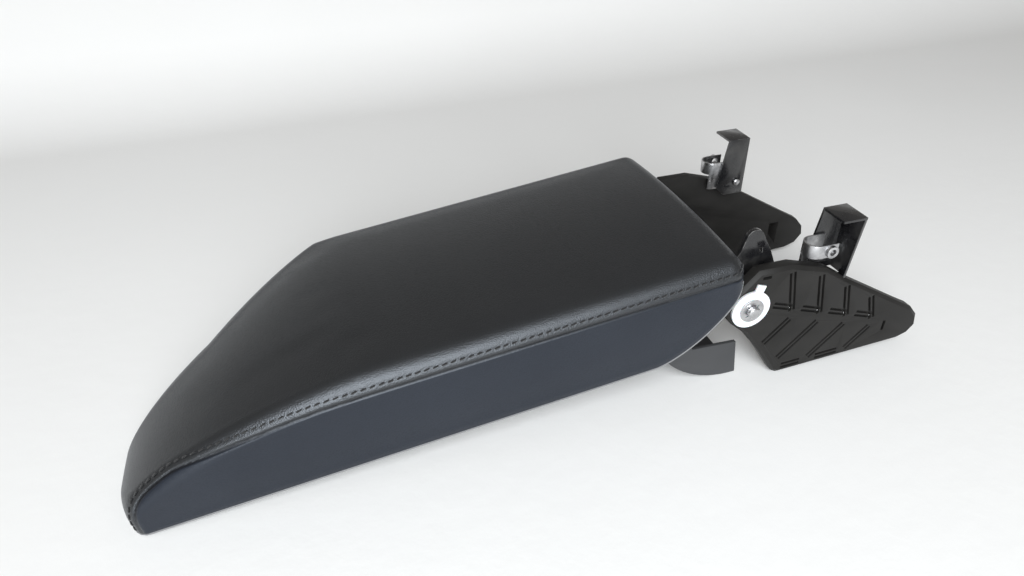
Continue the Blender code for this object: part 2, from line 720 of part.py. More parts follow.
def bushing(name, side, base, surface):
    """White flanged bushing in a side plate, with a small tab that stops it turning."""
    flange_start = side * (PLATE_OUTER + FIT)
    flange_end = side * FLANGE_OUTER
    ring = prism_y(circle(BUSHING_FLANGE_DIAMETER / 2, 32), flange_start, flange_end, name, base, surface)
    reach = BUSHING_FLANGE_DIAMETER / 2 + BUSHING_TAB_REACH
    half = BUSHING_TAB_WIDTH / 2
    tab_outline = []
    for along, across in ((0.5 * reach, -half), (reach, -half), (reach, half), (0.5 * reach, half)):
        x = along * math.cos(BUSHING_TAB_ANGLE) - across * math.sin(BUSHING_TAB_ANGLE)
        z = along * math.sin(BUSHING_TAB_ANGLE) + across * math.cos(BUSHING_TAB_ANGLE)
        tab_outline.append((x, z))
    tab = prism_y(tab_outline, flange_start, flange_end - side * BUSHING_FLANGE / 4)
    sleeve = prism_y(
        circle(BUSHING_SLEEVE_DIAMETER / 2, 24), side * PLATE_INNER, flange_end - side * BUSHING_FLANGE / 2
    )
    bore = prism_y(circle(SLEEVE_BORE / 2, 20), side * (PLATE_INNER - MM), side * (FLANGE_OUTER + MM))
    for cutter in (tab, sleeve, bore):
        cutter.parent = base
    combine(ring, "UNION", tab, sleeve)
    combine(ring, "DIFFERENCE", bore)


def star_ring(name, side, base, surface):
    """Push-on ring that grips the rod's end, with notches round its hole."""
    start = side * (FLANGE_OUTER + FIT)
    end = side * STAR_OUTER
    ring = prism_y(circle(STAR_RING_DIAMETER / 2, 32), start, end, name, base, surface)
    hole_radius = ROD_DIAMETER / 2 + FIT
    bm = bmesh.new()
    star = []
    steps = 4 * STAR_RING_NOTCHES
    for step in range(steps):
        angle = 2 * math.pi * step / steps
        radius = hole_radius + (STAR_RING_NOTCH_DEPTH if step % 4 == 0 else 0.0)
        star.append((radius * math.cos(angle), radius * math.sin(angle)))
    add_prism_y(bm, star, start - side * MM, end + side * MM)
    cutter = mesh_object("cutter", bm, base)
    combine(ring, "DIFFERENCE", cutter)


def spacer(name, side, base, surface):
    """Nylon spacer on the rod between an arm and its side plate."""
    start = side * (ARM_OUTER + FIT)
    end = side * (PLATE_INNER - FIT)
    ring = prism_y(circle(SPACER_DIAMETER / 2, 24), start, end, name, base, surface)
    bore = prism_y(circle(SLEEVE_BORE / 2, 20), start - side * MM, end + side * MM)
    bore.parent = base
    combine(ring, "DIFFERENCE", bore)


def plate_outline():
    """Side view of a side plate: round at the pivot, long and low to its blunt tip."""
    outline = arc(PLATE_FRONT_RADIUS, math.radians(225.0), math.radians(130.0), 8)
    outline += in_mm(PLATE_TOP_CORNERS)
    outline += [(PLATE_LENGTH + x, z) for x, z in in_mm(PLATE_TIP_CORNERS)]
    return outline + in_mm(PLATE_HEEL_CORNERS)


def drawn_in(outline, distance):
    """The outline with every edge moved in by this much; it runs clockwise."""
    moved = []
    for before, corner, after in zip(outline[-1:] + outline[:-1], outline, outline[1:] + outline[:1]):
        along = (Vector(corner) - Vector(before)).normalized()
        onward = (Vector(after) - Vector(corner)).normalized()
        inward = Vector((along.y + onward.y, -along.x - onward.x))
        place = Vector(corner) + inward * distance / (1 + along.dot(onward))
        moved.append((place.x, place.y))
    return moved


def edge_height(corners, x):
    """Height at x of the edge that runs through these corners."""
    for (x_start, z_start), (x_end, z_end) in zip(corners, corners[1:]):
        if x_start <= x <= x_end:
            return z_start + (z_end - z_start) * (x - x_start) / (x_end - x_start)
    return corners[-1][1]


def groove(bm, start, end, side):
    """A shallow channel in the outer face, with a bead left standing along its middle."""
    direction = (Vector(end) - Vector(start)).normalized()
    across = Vector((-direction.y, direction.x))
    wall = (GROOVE_WIDTH - GROOVE_BEAD) / 2
    for offset in (-(GROOVE_BEAD + wall) / 2, (GROOVE_BEAD + wall) / 2):
        corners = []
        for point, turn in ((start, -1), (end, -1), (end, 1), (start, 1)):
            corner = Vector(point) + across * (offset + turn * wall / 2)
            corners.append((corner.x, corner.y))
        add_prism_y(bm, corners, side * (PLATE_OUTER - GROOVE_DEPTH), side * (PLATE_OUTER + MM))


def plate_grooves(side):
    """Upright and slanting channels in pairs and two along the foot, and the level ones apart."""
    long_ones = bmesh.new()
    level_ones = bmesh.new()
    top = in_mm(PLATE_TOP_CORNERS)
    for place, slant in enumerate(in_mm([(length, 0.0) for length in SLANT_LENGTHS])):
        x = GROOVE_FIRST_X + GROOVE_PITCH * place
        foot = (x + GROOVE_LEAN, GROOVE_FIRST_FOOT - GROOVE_FALL * place)
        groove(long_ones, (x, edge_height(top, x) - GROOVE_TO_EDGE), foot, side)
        level_end = (foot[0], foot[1] + GROOVE_WIDTH / 2)
        level_start = (level_end[0] - LEVEL_GROOVE_LENGTH, level_end[1] + LEVEL_GROOVE_DROP)
        groove(level_ones, level_start, level_end, side)
        slant_start = (foot[0], foot[1] - SLANT_BELOW_FOOT)
        reach = slant[0] * math.sqrt(0.5)
        groove(long_ones, slant_start, (slant_start[0] - reach, slant_start[1] - reach), side)
    floor = [in_mm(PLATE_HEEL_CORNERS)[0], in_mm(PLATE_TIP_CORNERS)[-1]]
    floor[1] = (floor[1][0] + PLATE_LENGTH, floor[1][1])
    for x_start, x_end in in_mm(EDGE_GROOVES):
        ends = [(x, edge_height(floor, x) + EDGE_GROOVE_HEIGHT) for x in (x_start, x_end)]
        groove(long_ones, *ends, side)
    return mesh_object("cutter", long_ones), mesh_object("cutter", level_ones)


def flared_slot(side):
    """Slot that opens out toward the plate's inner face, so that light comes through."""
    narrow = slot_outline(PLATE_SLOT_PLACE, PLATE_SLOT_WIDTH, PLATE_SLOT_LENGTH)
    wide = slot_outline(
        PLATE_SLOT_PLACE, PLATE_SLOT_WIDTH + 2 * PLATE_SLOT_FLARE, PLATE_SLOT_LENGTH + 4 * PLATE_SLOT_FLARE
    )
    rings = []
    for outline, y in (
        (narrow, PLATE_OUTER + MM),
        (narrow, PLATE_OUTER - PLATE_SLOT_LIP),
        (wide, PLATE_INNER - MM),
    ):
        rings.append([Vector((x, side * y, z)) for x, z in outline])
    return loft("cutter", rings)


def tongue_box(grow, depth):
    """Room or body of the clip bracket's tongue, in the side plate's upper edge."""
    middle = (PLATE_INNER + PLATE_OUTER) / 2
    half = TONGUE_WIDTH / 2 + grow
    return box_outline(
        CLIP_BACK - STEEL - grow, CLIP_BACK + grow, middle - half, middle + half
    ), CLIP_FOOT - depth - grow


def side_plate(name, side, base, surface):
    """Thick moulded plate that is fixed in the console and carries the rod."""
    full = plate_outline()
    rings = []
    for outline, y in (
        (full, PLATE_INNER),
        (full, PLATE_OUTER - PLATE_CHAMFER),
        (drawn_in(full, PLATE_CHAMFER), PLATE_OUTER),
    ):
        rings.append([Vector((x, side * y, z)) for x, z in outline])
    plate = loft(name, rings, base, surface)
    outer = side * (PLATE_OUTER + MM)
    bore = prism_y(circle(PLATE_BORE / 2, 24), side * (PLATE_INNER - MM), outer)
    notch = prism_y(
        slot_outline(PLATE_NOTCH_PLACE, PLATE_NOTCH_WIDTH, PLATE_NOTCH_HEIGHT),
        side * (PLATE_OUTER - PLATE_NOTCH_DEPTH),
        outer,
    )
    outline, low = tongue_box(FIT, TONGUE_DEPTH)
    pocket = prism_z([(x, side * y) for x, y in outline], low, CLIP_TOP)
    cutters = [bore, notch, flared_slot(side), pocket, *plate_grooves(side)]
    for cutter in cutters:
        cutter.parent = base
    combine(plate, "DIFFERENCE", *cutters)


def clip_bracket(name, side, base, surface):
    """Folded steel bracket: inboard wall, rear wall and a top flange turned outward."""
    wall_outline = [
        (CLIP_FRONT, CLIP_TOP),
        (CLIP_FOOT_FRONT, CLIP_FOOT + CLIP_CORNER),
        (CLIP_FOOT_FRONT + CLIP_CORNER, CLIP_FOOT),
        (CLIP_BACK, CLIP_FOOT),
        (CLIP_BACK, CLIP_TOP),
    ]
    wall_start = side * CLIP_WALL
    bracket = prism_y(wall_outline, wall_start, side * (CLIP_WALL + STEEL), name, base, surface)
    rear_rings = []
    for outer, z in ((CLIP_FOOT_OUTER, CLIP_FOOT), (CLIP_OUTER, CLIP_TOP)):
        outline = box_outline(CLIP_BACK - STEEL, CLIP_BACK, wall_start, side * outer)
        rear_rings.append([Vector((x, y, z)) for x, y in outline])
    rear = loft("cutter", rear_rings)
    flange = prism_z(
        box_outline(CLIP_FRONT, CLIP_BACK, wall_start, side * CLIP_OUTER), CLIP_TOP - STEEL, CLIP_TOP
    )
    outline, low = tongue_box(0.0, TONGUE_DEPTH)
    tongue = prism_z([(x, side * y) for x, y in outline], low, CLIP_TOP - STEEL / 2)
    hole = prism_y(
        circle(RIVET_DIAMETER / 2 + FIT, 12, (RIVET_X, RIVET_Z)),
        wall_start - side * MM,
        side * (CLIP_WALL + STEEL + MM),
    )
    for cutter in (rear, flange, tongue, hole):
        cutter.parent = base
    combine(bracket, "UNION", rear, flange, tongue)
    combine(bracket, "DIFFERENCE", hole)


def spring_profile():
    """Top view of a spring clip: a leaf on the bracket's wall, bent back on itself."""
    near = CLIP_WALL + STEEL + FIT
    far = near + SPRING_STEEL
    bend_x = SPRING_NOSE + SPRING_BEND_RADIUS
    bend_y = near + SPRING_BEND_RADIUS
    outside = arc(SPRING_BEND_RADIUS, math.radians(270.0), math.radians(90.0), 10, (bend_x, bend_y))
    inner_radius = SPRING_BEND_RADIUS - SPRING_STEEL
    inside = arc(inner_radius, math.radians(90.0), math.radians(270.0), 10, (bend_x, bend_y))
    points = [(SPRING_BACK_TAB, far), (SPRING_BACK_TAB, near)]
    points += outside
    points.append((SPRING_OUTER_END, bend_y + SPRING_BEND_RADIUS))
    points.append((SPRING_OUTER_END, bend_y + inner_radius))
    points += inside
    return points


def spring_clip(name, side, base, surface):
    """Spring steel U-shaped nut clip, riveted to the bracket's wall."""
    outline = [(x, side * y) for x, y in spring_profile()]
    clip = prism_z(outline, SPRING_TAB_BOTTOM, SPRING_TOP, name, base, surface)
    leaf_end = CLIP_WALL + STEEL + 2 * FIT + SPRING_STEEL
    over_plate = prism_z(
        box_outline(SPRING_NOSE - MM, CLIP_BACK, side * leaf_end, side * CLIP_OUTER),
        SPRING_TAB_BOTTOM - MM,
        SPRING_BOTTOM,
    )
    relief_x = CLIP_FRONT + SPRING_STEP
    relief = prism_z(
        box_outline(relief_x, CLIP_BACK, side * CLIP_WALL, side * CLIP_OUTER),
        RIVET_Z + RIVET_HEAD,
        SPRING_TOP + MM,
    )
    collar_x = SPRING_NOSE + 2 * SPRING_BEND_RADIUS
    collar_z = (SPRING_BOTTOM + SPRING_TOP) / 2
    leaf = CLIP_WALL + STEEL + FIT + 2 * SPRING_BEND_RADIUS
    collar = prism_y(
        circle(SPRING_COLLAR_DIAMETER / 2, 16, (collar_x, collar_z)),
        side * (leaf - SPRING_STEEL / 2),
        side * (leaf + SPRING_COLLAR_HEIGHT),
    )
    hole = prism_y(
        circle(SPRING_COLLAR_HOLE / 2, 12, (collar_x, collar_z)),
        side * (leaf - 2 * SPRING_STEEL),
        side * (leaf + SPRING_COLLAR_HEIGHT + MM),
    )
    rivet_hole = prism_y(
        circle(RIVET_DIAMETER / 2 + FIT, 12, (RIVET_X, RIVET_Z)), side * CLIP_WALL, side * CLIP_OUTER
    )
    for cutter in (over_plate, relief, collar, hole, rivet_hole):
        cutter.parent = base
    combine(clip, "DIFFERENCE", over_plate, relief)
    combine(clip, "UNION", collar)
    combine(clip, "DIFFERENCE", hole, rivet_hole)


def rivet(name, side, base, surface):
    """Rivet through the bracket's wall and the spring clip, with a dome at each end."""
    bm = bmesh.new()
    inner = CLIP_WALL - FIT
    outer = CLIP_WALL + STEEL + 2 * FIT + SPRING_STEEL
    head = RIVET_HEAD / 2
    rings = []
    for radius, y in (
        (0.5 * head, inner - RIVET_HEAD_HEIGHT),
        (0.9 * head, inner - 0.6 * RIVET_HEAD_HEIGHT),
        (head, inner),
        (RIVET_DIAMETER / 2, inner),
        (RIVET_DIAMETER / 2, outer),
        (head, outer),
        (0.9 * head, outer + 0.6 * RIVET_HEAD_HEIGHT),
        (0.5 * head, outer + RIVET_HEAD_HEIGHT),
    ):
        around = circle(radius, 14, (RIVET_X, RIVET_Z))
        rings.append([Vector((px, side * y, pz)) for px, pz in around])
    add_loft(bm, rings)
    mesh_object(name, bm, base, surface)


def resting_tip():
    """How far the lid tips about the axis for the nose to come down to the ground."""
    contact = Vector((PAD_TIP + TIP_FLAT, 0.0, PAD_FLOOR))
    reach = math.hypot(contact.x, contact.z)
    return math.asin(AXIS_HEIGHT / reach) - math.atan2(-contact.z, -contact.x)


def build_lid(lid, surfaces):
    leather_cover(lid, surfaces["leather"])
    foam_pad(lid, surfaces["foam"])
    lid_core(lid, surfaces["core"])
    under_panel(lid, surfaces["trim"])
    rear_cover(lid, surfaces["trim"])
    for side_name, side in SIDES:
        hinge_arm(f"hinge_arm_{side_name}", side, lid, surfaces["black_steel"])
    for name, x, y, seat in screw_places():
        screw(name, x, y, seat, lid, surfaces["zinc"])


def build_base(base, surfaces):
    hinge_rod(base, surfaces["zinc"])
    for side_name, side in SIDES:
        side_plate(f"side_plate_{side_name}", side, base, surfaces["plate"])
        bushing(f"bushing_{side_name}", side, base, surfaces["nylon"])
        star_ring(f"star_ring_{side_name}", side, base, surfaces["zinc"])
        spacer(f"rod_spacer_{side_name}", side, base, surfaces["nylon"])
        clip_bracket(f"clip_bracket_{side_name}", side, base, surfaces["black_steel"])
        spring_clip(f"spring_clip_{side_name}", side, base, surfaces["spring"])
        rivet(f"clip_rivet_{side_name}", side, base, surfaces["zinc"])


def middle_of_length():
    """Half way between the tip of the lid and the ends of the side plates."""
    bpy.context.view_layer.update()
    low, high = math.inf, -math.inf
    for obj in bpy.context.scene.objects:
        if obj.type == "MESH":
            places = [(obj.matrix_world @ vertex.co).x for vertex in obj.data.vertices]
            low, high = min(low, *places), max(high, *places)
    return (low + high) / 2


def main():
    clear_scene()
    surfaces = make_materials()
    axis = empty("hinge_axis", (0.0, 0.0, AXIS_HEIGHT))
    lid = empty("lid_axis", (0.0, 0.0, 0.0), axis)
    lid.rotation_euler = (0.0, -resting_tip(), 0.0)
    bpy.context.view_layer.update()
    build_lid(lid, surfaces)
    build_base(axis, surfaces)
    axis.location.x = -middle_of_length()
    bpy.context.view_layer.update()


main()
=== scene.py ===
"""Looks of the console armrest lid: a sewn leather pad on a steel and plastic hinge."""

import json
import math

import bmesh
import bpy
import numpy as np
from mathutils import Matrix, Vector
from mathutils.bvhtree import BVHTree
from mathutils.kdtree import KDTree

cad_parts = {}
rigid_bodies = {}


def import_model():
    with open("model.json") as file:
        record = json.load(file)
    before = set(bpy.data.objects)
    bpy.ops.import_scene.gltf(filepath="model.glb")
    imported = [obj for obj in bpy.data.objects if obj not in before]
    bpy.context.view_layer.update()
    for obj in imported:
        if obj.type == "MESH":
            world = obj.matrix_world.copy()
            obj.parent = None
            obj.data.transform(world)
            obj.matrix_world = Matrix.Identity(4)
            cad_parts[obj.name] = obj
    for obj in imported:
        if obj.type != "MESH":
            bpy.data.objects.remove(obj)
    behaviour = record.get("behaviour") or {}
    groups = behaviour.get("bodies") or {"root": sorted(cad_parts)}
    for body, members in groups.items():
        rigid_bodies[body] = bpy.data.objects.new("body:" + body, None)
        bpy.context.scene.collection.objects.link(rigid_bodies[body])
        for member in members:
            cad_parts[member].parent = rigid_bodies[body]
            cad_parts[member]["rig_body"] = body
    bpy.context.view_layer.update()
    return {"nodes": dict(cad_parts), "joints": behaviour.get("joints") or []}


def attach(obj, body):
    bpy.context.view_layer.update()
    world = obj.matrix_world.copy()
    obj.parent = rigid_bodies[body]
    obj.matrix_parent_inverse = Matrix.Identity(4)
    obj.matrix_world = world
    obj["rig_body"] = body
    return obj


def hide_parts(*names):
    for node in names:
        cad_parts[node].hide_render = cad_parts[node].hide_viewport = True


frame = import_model()

MM = 0.001
AXIS = Vector(frame["joints"][0]["pos_m"])

# Pad, outside sizes, level about the hinge axis with the nose toward -X
PAD_WIDTH = 165.0 * MM
PAD_LENGTH = 376.5 * MM
PAD_HEIGHT = 60.5 * MM
PAD_REAR = -8.0 * MM
PAD_FLOOR = -14.0 * MM
PAD_CROWN = 3.4 * MM
SHOULDER = 12.0 * MM
REAR_EDGE = 9.0 * MM
HEEL_LENGTH = 60.0 * MM
HEEL_HEIGHT = 48.0 * MM
HEEL_POWER = 1.5
BOTTOM_TURN = 2.0 * MM
FALL_X = PAD_REAR - 224.0 * MM
FALL_POWER = 1.55
SWEEP_X = PAD_REAR - 240.0 * MM
SWEEP_POWER = 1.18
TIP_FROM_LEFT = 59.0 * MM
TIP_CORNER = 17.0 * MM
SWEEP_SHOULDER = 35.0 * MM
TIP_FLAT = 0.6 * MM
LEAST_EDGE = 2.0 * MM
PAD_TIP = PAD_REAR - PAD_LENGTH
HALF_WIDTH = PAD_WIDTH / 2

# Leather, and how far the air in it may swell it
LEATHER = 1.8 * MM
SLACK = 0.6 * MM
SWELL_MOST = 0.9 * MM
SWELL_VOXEL = 5.0 * MM
SWELL_PRESSURE = 4.0
SWELL_FRAMES = 20
HELD_BY_SEAM = 4.5 * MM
HELD_BY_EDGE = 5.0 * MM
HELD_BY_BACK = 14.0 * MM
POCKET_FRONT = -48.0 * MM
POCKET_WALL = 3.0 * MM
POCKET_ROOF = 33.0 * MM

# Seam between the top leather and the side panel, as it runs in a side view
SEAM_SIDE_VIEW = (
    (-9.0, 34.2), (-60.0, 34.6), (-150.0, 34.6), (-240.0, 34.4), (-270.0, 33.0), (-300.0, 29.3),
    (-315.0, 26.9), (-331.0, 24.0), (-342.0, 21.0), (-353.0, 15.8), (-360.0, 11.6), (-365.0, 7.0),
    (-367.8, 1.6), (-369.2, -5.0), (-369.6, -12.6),
)
SEAM_DEPTH = 0.5 * MM
SEAM_WIDTH = 1.1 * MM
SEAM_LIP = 0.05 * MM
SEAM_LIP_PLACE = 2.2 * MM
SEAM_LIP_WIDTH = 1.3 * MM
STITCH_FROM_SEAM = 4.7 * MM
STITCH_PITCH = 4.9 * MM
STITCH_LENGTH = 3.7 * MM
STITCH_RADIUS = 0.52 * MM
STITCH_RISE = 0.36 * MM
STITCH_DIVE = 0.80 * MM
STITCH_SLANT = 0.30 * MM
STITCH_FLATNESS = 0.75
STITCH_CHANNEL = 0.2 * MM
STITCH_CHANNEL_WIDTH = 1.4 * MM
BEAD_RADIUS = 0.55 * MM

# Side plates' channels, where each one ends in a small bright dot; places are about the axis
PLATE_FACE = 70.5 * MM
GROOVE_DEPTH = 2.0 * MM
DOT_RADIUS = 0.9 * MM
DOT_PROFILE = ((1.0, -0.4), (1.0, 0.1), (0.8, 0.3), (0.35, 0.42))
UPRIGHT_FOOT = (32.0, -8.2)
SLANT_HEAD = (31.4, -16.1)
GROOVE_STEP = (22.2, -7.2)
SLANT_REACHES = (16.2, 24.7, 22.6, 15.5)

# Paper of the stage, in metres: how it lies in a side view, and its half width
PAPER_FRONT = -2.4
PAPER_BEND = 0.5
PAPER_BEND_RADIUS = 0.25
PAPER_SLOPE = math.radians(42.0)
PAPER_BACK = (1.0, 0.36)
PAPER_SIDE = 3.2

# The camera: where it stands from the hinge axis, how it is turned, and its picture
CAMERA_PLACE = Vector((-0.24011, -0.37559, 0.26632))
CAMERA_TURN = math.radians(-16.04)
CAMERA_DOWN = math.radians(34.44)
CAMERA_ROLL = math.radians(-1.45)
PICTURE_WIDTH = 1024
FOCAL_PIXELS = 723.19
SENSOR_WIDTH = 36.0

LEFT, RIGHT = -1, 1
SIDES = (("left", LEFT), ("right", RIGHT))


def resting_tip():
    """How far the lid tips about the axis for its nose to touch the ground."""
    contact = Vector((PAD_TIP + TIP_FLAT, 0.0, PAD_FLOOR))
    reach = math.hypot(contact.x, contact.z)
    return math.asin(AXIS.z / reach) - math.atan2(-contact.z, -contact.x)


LID_TO_ROW = Matrix.Translation(AXIS) @ Matrix.Rotation(-resting_tip(), 4, "Y")


# Node trees

def add_node(tree, kind, inputs=None, **settings):
    """One node, with its settings, and its inputs given as values or as other nodes' outputs."""
    made = tree.nodes.new(kind)
    for name, value in settings.items():
        setattr(made, name, value)
    for key, value in (inputs or {}).items():
        socket = made.inputs[key]
        if isinstance(value, bpy.types.NodeSocket):
            tree.links.new(value, socket)
        else:
            socket.default_value = value
    return made


def blank_finish(name, color, roughness, **sockets):
    """A material with its shader, its object coordinates, and its plain values set on the shader."""
    made = bpy.data.materials.new(name)
    made.use_nodes = True
    tree = made.node_tree
    shader = tree.nodes["Principled BSDF"]
    shader.inputs["Base Color"].default_value = (*color, 1.0)
    shader.inputs["Roughness"].default_value = roughness
    for key, value in sockets.items():
        shader.inputs[key.replace("_", " ")].default_value = value
    made.diffuse_color = (*color, 1.0)
    place = add_node(tree, "ShaderNodeTexCoord").outputs["Object"]
    return made, tree, shader, place


def noise(tree, place, scale, detail=3.0, roughness=0.55):
    made = add_node(tree, "ShaderNodeTexNoise", {
        "Vector": place, "Scale": scale, "Detail": detail, "Roughness": roughness})
    return made.outputs["Fac"]


def cells(tree, place, scale, feature="F1", smooth=None):
    made = add_node(tree, "ShaderNodeTexVoronoi", {"Vector": place, "Scale": scale}, feature=feature)
    if smooth is not None:
        made.inputs["Smoothness"].default_value = smooth
    return made.outputs["Distance"]


def spread(tree, value, low, high, to_low, to_high):
    made = add_node(tree, "ShaderNodeMapRange", {
        "Value": value, "From Min": low, "From Max": high, "To Min": to_low, "To Max": to_high})
    return made.outputs["Result"]


def reckon(tree, operation, first, second=0.0):
    made = add_node(tree, "ShaderNodeMath", {0: first, 1: second}, operation=operation)
    return made.outputs["Value"]


def blend_colors(tree, share, first, second):
    made = add_node(tree, "ShaderNodeMix", {"Factor": share}, data_type="RGBA")
    for key, value in ((6, first), (7, second)):
        if isinstance(value, bpy.types.NodeSocket):
            tree.links.new(value, made.inputs[key])
        else:
            made.inputs[key].default_value = (*value, 1.0)
    return made.outputs[2]


def raise_grain(tree, shader, *layers):
    """Bumps one on another; each layer is a height, its depth in metres and its strength."""
    normal = None
    for height, depth, strength in layers:
        inputs = {"Height": height, "Distance": depth, "Strength": strength}
        if normal is not None:
            inputs["Normal"] = normal
        normal = add_node(tree, "ShaderNodeBump", inputs).outputs["Normal"]
    tree.links.new(normal, shader.inputs["Normal"])


# Finishes

def leather_finish(name, color, light, pebble_size, grain_depth, gleam):
    """Pebbled leather: small smooth cells, fine pores, a faint cloud of tone, with painted shade in the
    grain's hollows, beside the stitches and in the seam.
    """
    made, tree, shader, place = blank_finish(
        name, color, 0.5, Sheen_Weight=0.02, Sheen_Roughness=0.35, Specular_IOR_Level=gleam)
    shader.inputs["Sheen Tint"].default_value = (0.66, 0.76, 1.0, 1.0)
    shader.inputs["Specular Tint"].default_value = (0.86, 0.92, 1.0, 1.0)
    wander = add_node(tree, "ShaderNodeTexNoise", {"Vector": place, "Scale": 260.0, "Detail": 2.0})
    bent = add_node(tree, "ShaderNodeMix", {"Factor": 0.0009}, data_type="VECTOR")
    tree.links.new(place, bent.inputs[4])
    tree.links.new(wander.outputs["Color"], bent.inputs[5])
    pebbles = cells(tree, bent.outputs[1], 1.0 / pebble_size, "SMOOTH_F1", 0.2)
    pores = noise(tree, place, 2600.0, 2.0)
    clouds = noise(tree, place, 18.0, 4.0)
    creases = noise(tree, place, 75.0, 3.0, 0.6)
    seam = add_node(tree, "ShaderNodeAttribute", attribute_name="seam").outputs["Fac"]
    stitch = add_node(tree, "ShaderNodeAttribute", attribute_name="stitch").outputs["Fac"]
    # Painted shade in the seam's crease, near black, with some dirt.
    seam_painted_shade = spread(tree, seam, 0.6, 1.3, 1.0, 0.0)
    # Painted shade along the stitch channel, darkest at the stitches.
    stitch_painted_shade = spread(tree, stitch, 0.4, 1.2, 0.45, 0.0)
    toned = blend_colors(tree, spread(tree, clouds, 0.3, 0.7, 0.0, 1.0), color, light)
    # Painted shade in the hollows of the pebble grain.
    grain_hollow_painted_shade = spread(tree, pebbles, 0.3, 0.8, 0.0, 0.3)
    # The colour of the painted shade in the grain's hollows and beside the stitches: 0.4 of the leather's
    # own.
    painted_shade_color = tuple(0.4 * part for part in color)
    toned = blend_colors(tree, grain_hollow_painted_shade, toned, painted_shade_color)
    toned = blend_colors(tree, stitch_painted_shade, toned, painted_shade_color)
    toned = blend_colors(tree, seam_painted_shade, toned, (0.003, 0.003, 0.004))
    tree.links.new(toned, shader.inputs["Base Color"])
    rough = reckon(
        tree, "ADD", spread(tree, pores, 0.3, 0.7, 0.28, 0.35), spread(tree, pebbles, 0.2, 0.8, 0.0, 0.12))
    tree.links.new(rough, shader.inputs["Roughness"])
    groove = spread(tree, seam, 0.0, 1.4, 0.0, 1.0)
    near_seam = spread(tree, seam, 1.5, 14.0, 1.0, 0.0)
    raise_grain(
        tree, shader,
        (reckon(tree, "MULTIPLY", creases, near_seam), 0.0012, 0.3),
        (reckon(tree, "MULTIPLY", pebbles, -1.0), grain_depth, 0.8),
        (pores, 0.00003, 0.4),
        (groove, 0.0006, 0.8),
    )
    return made


def moulded_finish(name, color, light, roughness, depth, gleam=0.4):
    """Moulded plastic: fine spark texture, faint flow marks, patchy gloss."""
    made, tree, shader, place = blank_finish(name, color, roughness, Specular_IOR_Level=gleam)
    spark = noise(tree, place, 1500.0, 2.0)
    flow = add_node(tree, "ShaderNodeMapping", {"Vector": place, "Scale": (30.0, 90.0, 60.0)})
    streaks = noise(tree, flow.outputs["Vector"], 1.0, 5.0, 0.6)
    toned = blend_colors(tree, spread(tree, streaks, 0.3, 0.7, 0.0, 1.0), color, light)
    tree.links.new(toned, shader.inputs["Base Color"])
    rough = spread(tree, streaks, 0.25, 0.75, roughness - 0.07, roughness + 0.08)
    tree.links.new(rough, shader.inputs["Roughness"])
    raise_grain(tree, shader, (spark, depth, 0.5), (streaks, 0.0001, 0.15))
    return made


def painted_finish(name, color, roughness, wear=0.0):
    """Gloss black coating on pressed steel: slight orange peel, smudges, dust, and worn spots."""
    made, tree, shader, place = blank_finish(name, color, roughness, Coat_Weight=0.5, Coat_Roughness=0.12)
    peel = noise(tree, place, 420.0, 2.0)
    smudge = noise(tree, place, 55.0, 5.0, 0.65)
    dust = spread(tree, smudge, 0.48, 0.72, 0.0, 0.35)
    toned = blend_colors(tree, dust, color, (0.085, 0.082, 0.076))
    chips = spread(tree, noise(tree, place, 300.0, 3.0), 0.45, 0.6, 0.0, wear)
    toned = blend_colors(tree, chips, toned, (0.22, 0.215, 0.21))
    tree.links.new(toned, shader.inputs["Base Color"])
    rough = spread(tree, smudge, 0.3, 0.7, roughness - 0.1, roughness + 0.2)
    tree.links.new(rough, shader.inputs["Roughness"])
    raise_grain(tree, shader, (peel, 0.00006, 0.35))
    return made


def metal_finish(name, color, dull, roughness, streak=(60.0, 60.0, 900.0)):
    """Bare or plated steel: drawn streaks, dull patches and fine scratches."""
    made, tree, shader, place = blank_finish(name, color, roughness, Metallic=1.0)
    drawn = add_node(tree, "ShaderNodeMapping", {"Vector": place, "Scale": streak})
    streaks = noise(tree, drawn.outputs["Vector"], 1.0, 3.0)
    patches = noise(tree, place, 160.0, 4.0)
    toned = blend_colors(tree, spread(tree, patches, 0.35, 0.7, 0.0, 1.0), color, dull)
    tree.links.new(toned, shader.inputs["Base Color"])
    rough = spread(tree, patches, 0.3, 0.7, roughness - 0.06, roughness + 0.16)
    tree.links.new(rough, shader.inputs["Roughness"])
    raise_grain(tree, shader, (streaks, 0.00004, 0.4), (patches, 0.0001, 0.25))
    return made


def nylon_finish(name):
    """Natural nylon: milky, slightly waxy, greyed where it rubs."""
    made, tree, shader, place = blank_finish(
        name, (0.78, 0.79, 0.81), 0.42, Subsurface_Weight=0.15, Subsurface_Scale=0.002)
    clouds = noise(tree, place, 120.0, 4.0)
    greyed = spread(tree, clouds, 0.45, 0.75, 0.0, 0.5)
    toned = blend_colors(tree, greyed, (0.80, 0.81, 0.83), (0.66, 0.66, 0.66))
    tree.links.new(toned, shader.inputs["Base Color"])
    tree.links.new(spread(tree, clouds, 0.3, 0.7, 0.36, 0.5), shader.inputs["Roughness"])
    raise_grain(tree, shader, (noise(tree, place, 900.0, 2.0), 0.00004, 0.3))
    return made


def foam_finish(name):
    """Open moulded foam: small round cells, patchy and dull."""
    made, tree, shader, place = blank_finish(name, (0.30, 0.29, 0.26), 0.95)
    pits = cells(tree, place, 700.0)
    clouds = noise(tree, place, 40.0, 4.0)
    patchy = spread(tree, clouds, 0.3, 0.7, 0.0, 1.0)
    toned = blend_colors(tree, patchy, (0.27, 0.26, 0.23), (0.36, 0.34, 0.30))
    tree.links.new(toned, shader.inputs["Base Color"])
    tree.links.new(spread(tree, pits, 0.1, 0.6, 0.98, 0.85), shader.inputs["Roughness"])
    raise_grain(tree, shader, (pits, 0.0005, 0.7))
    return made


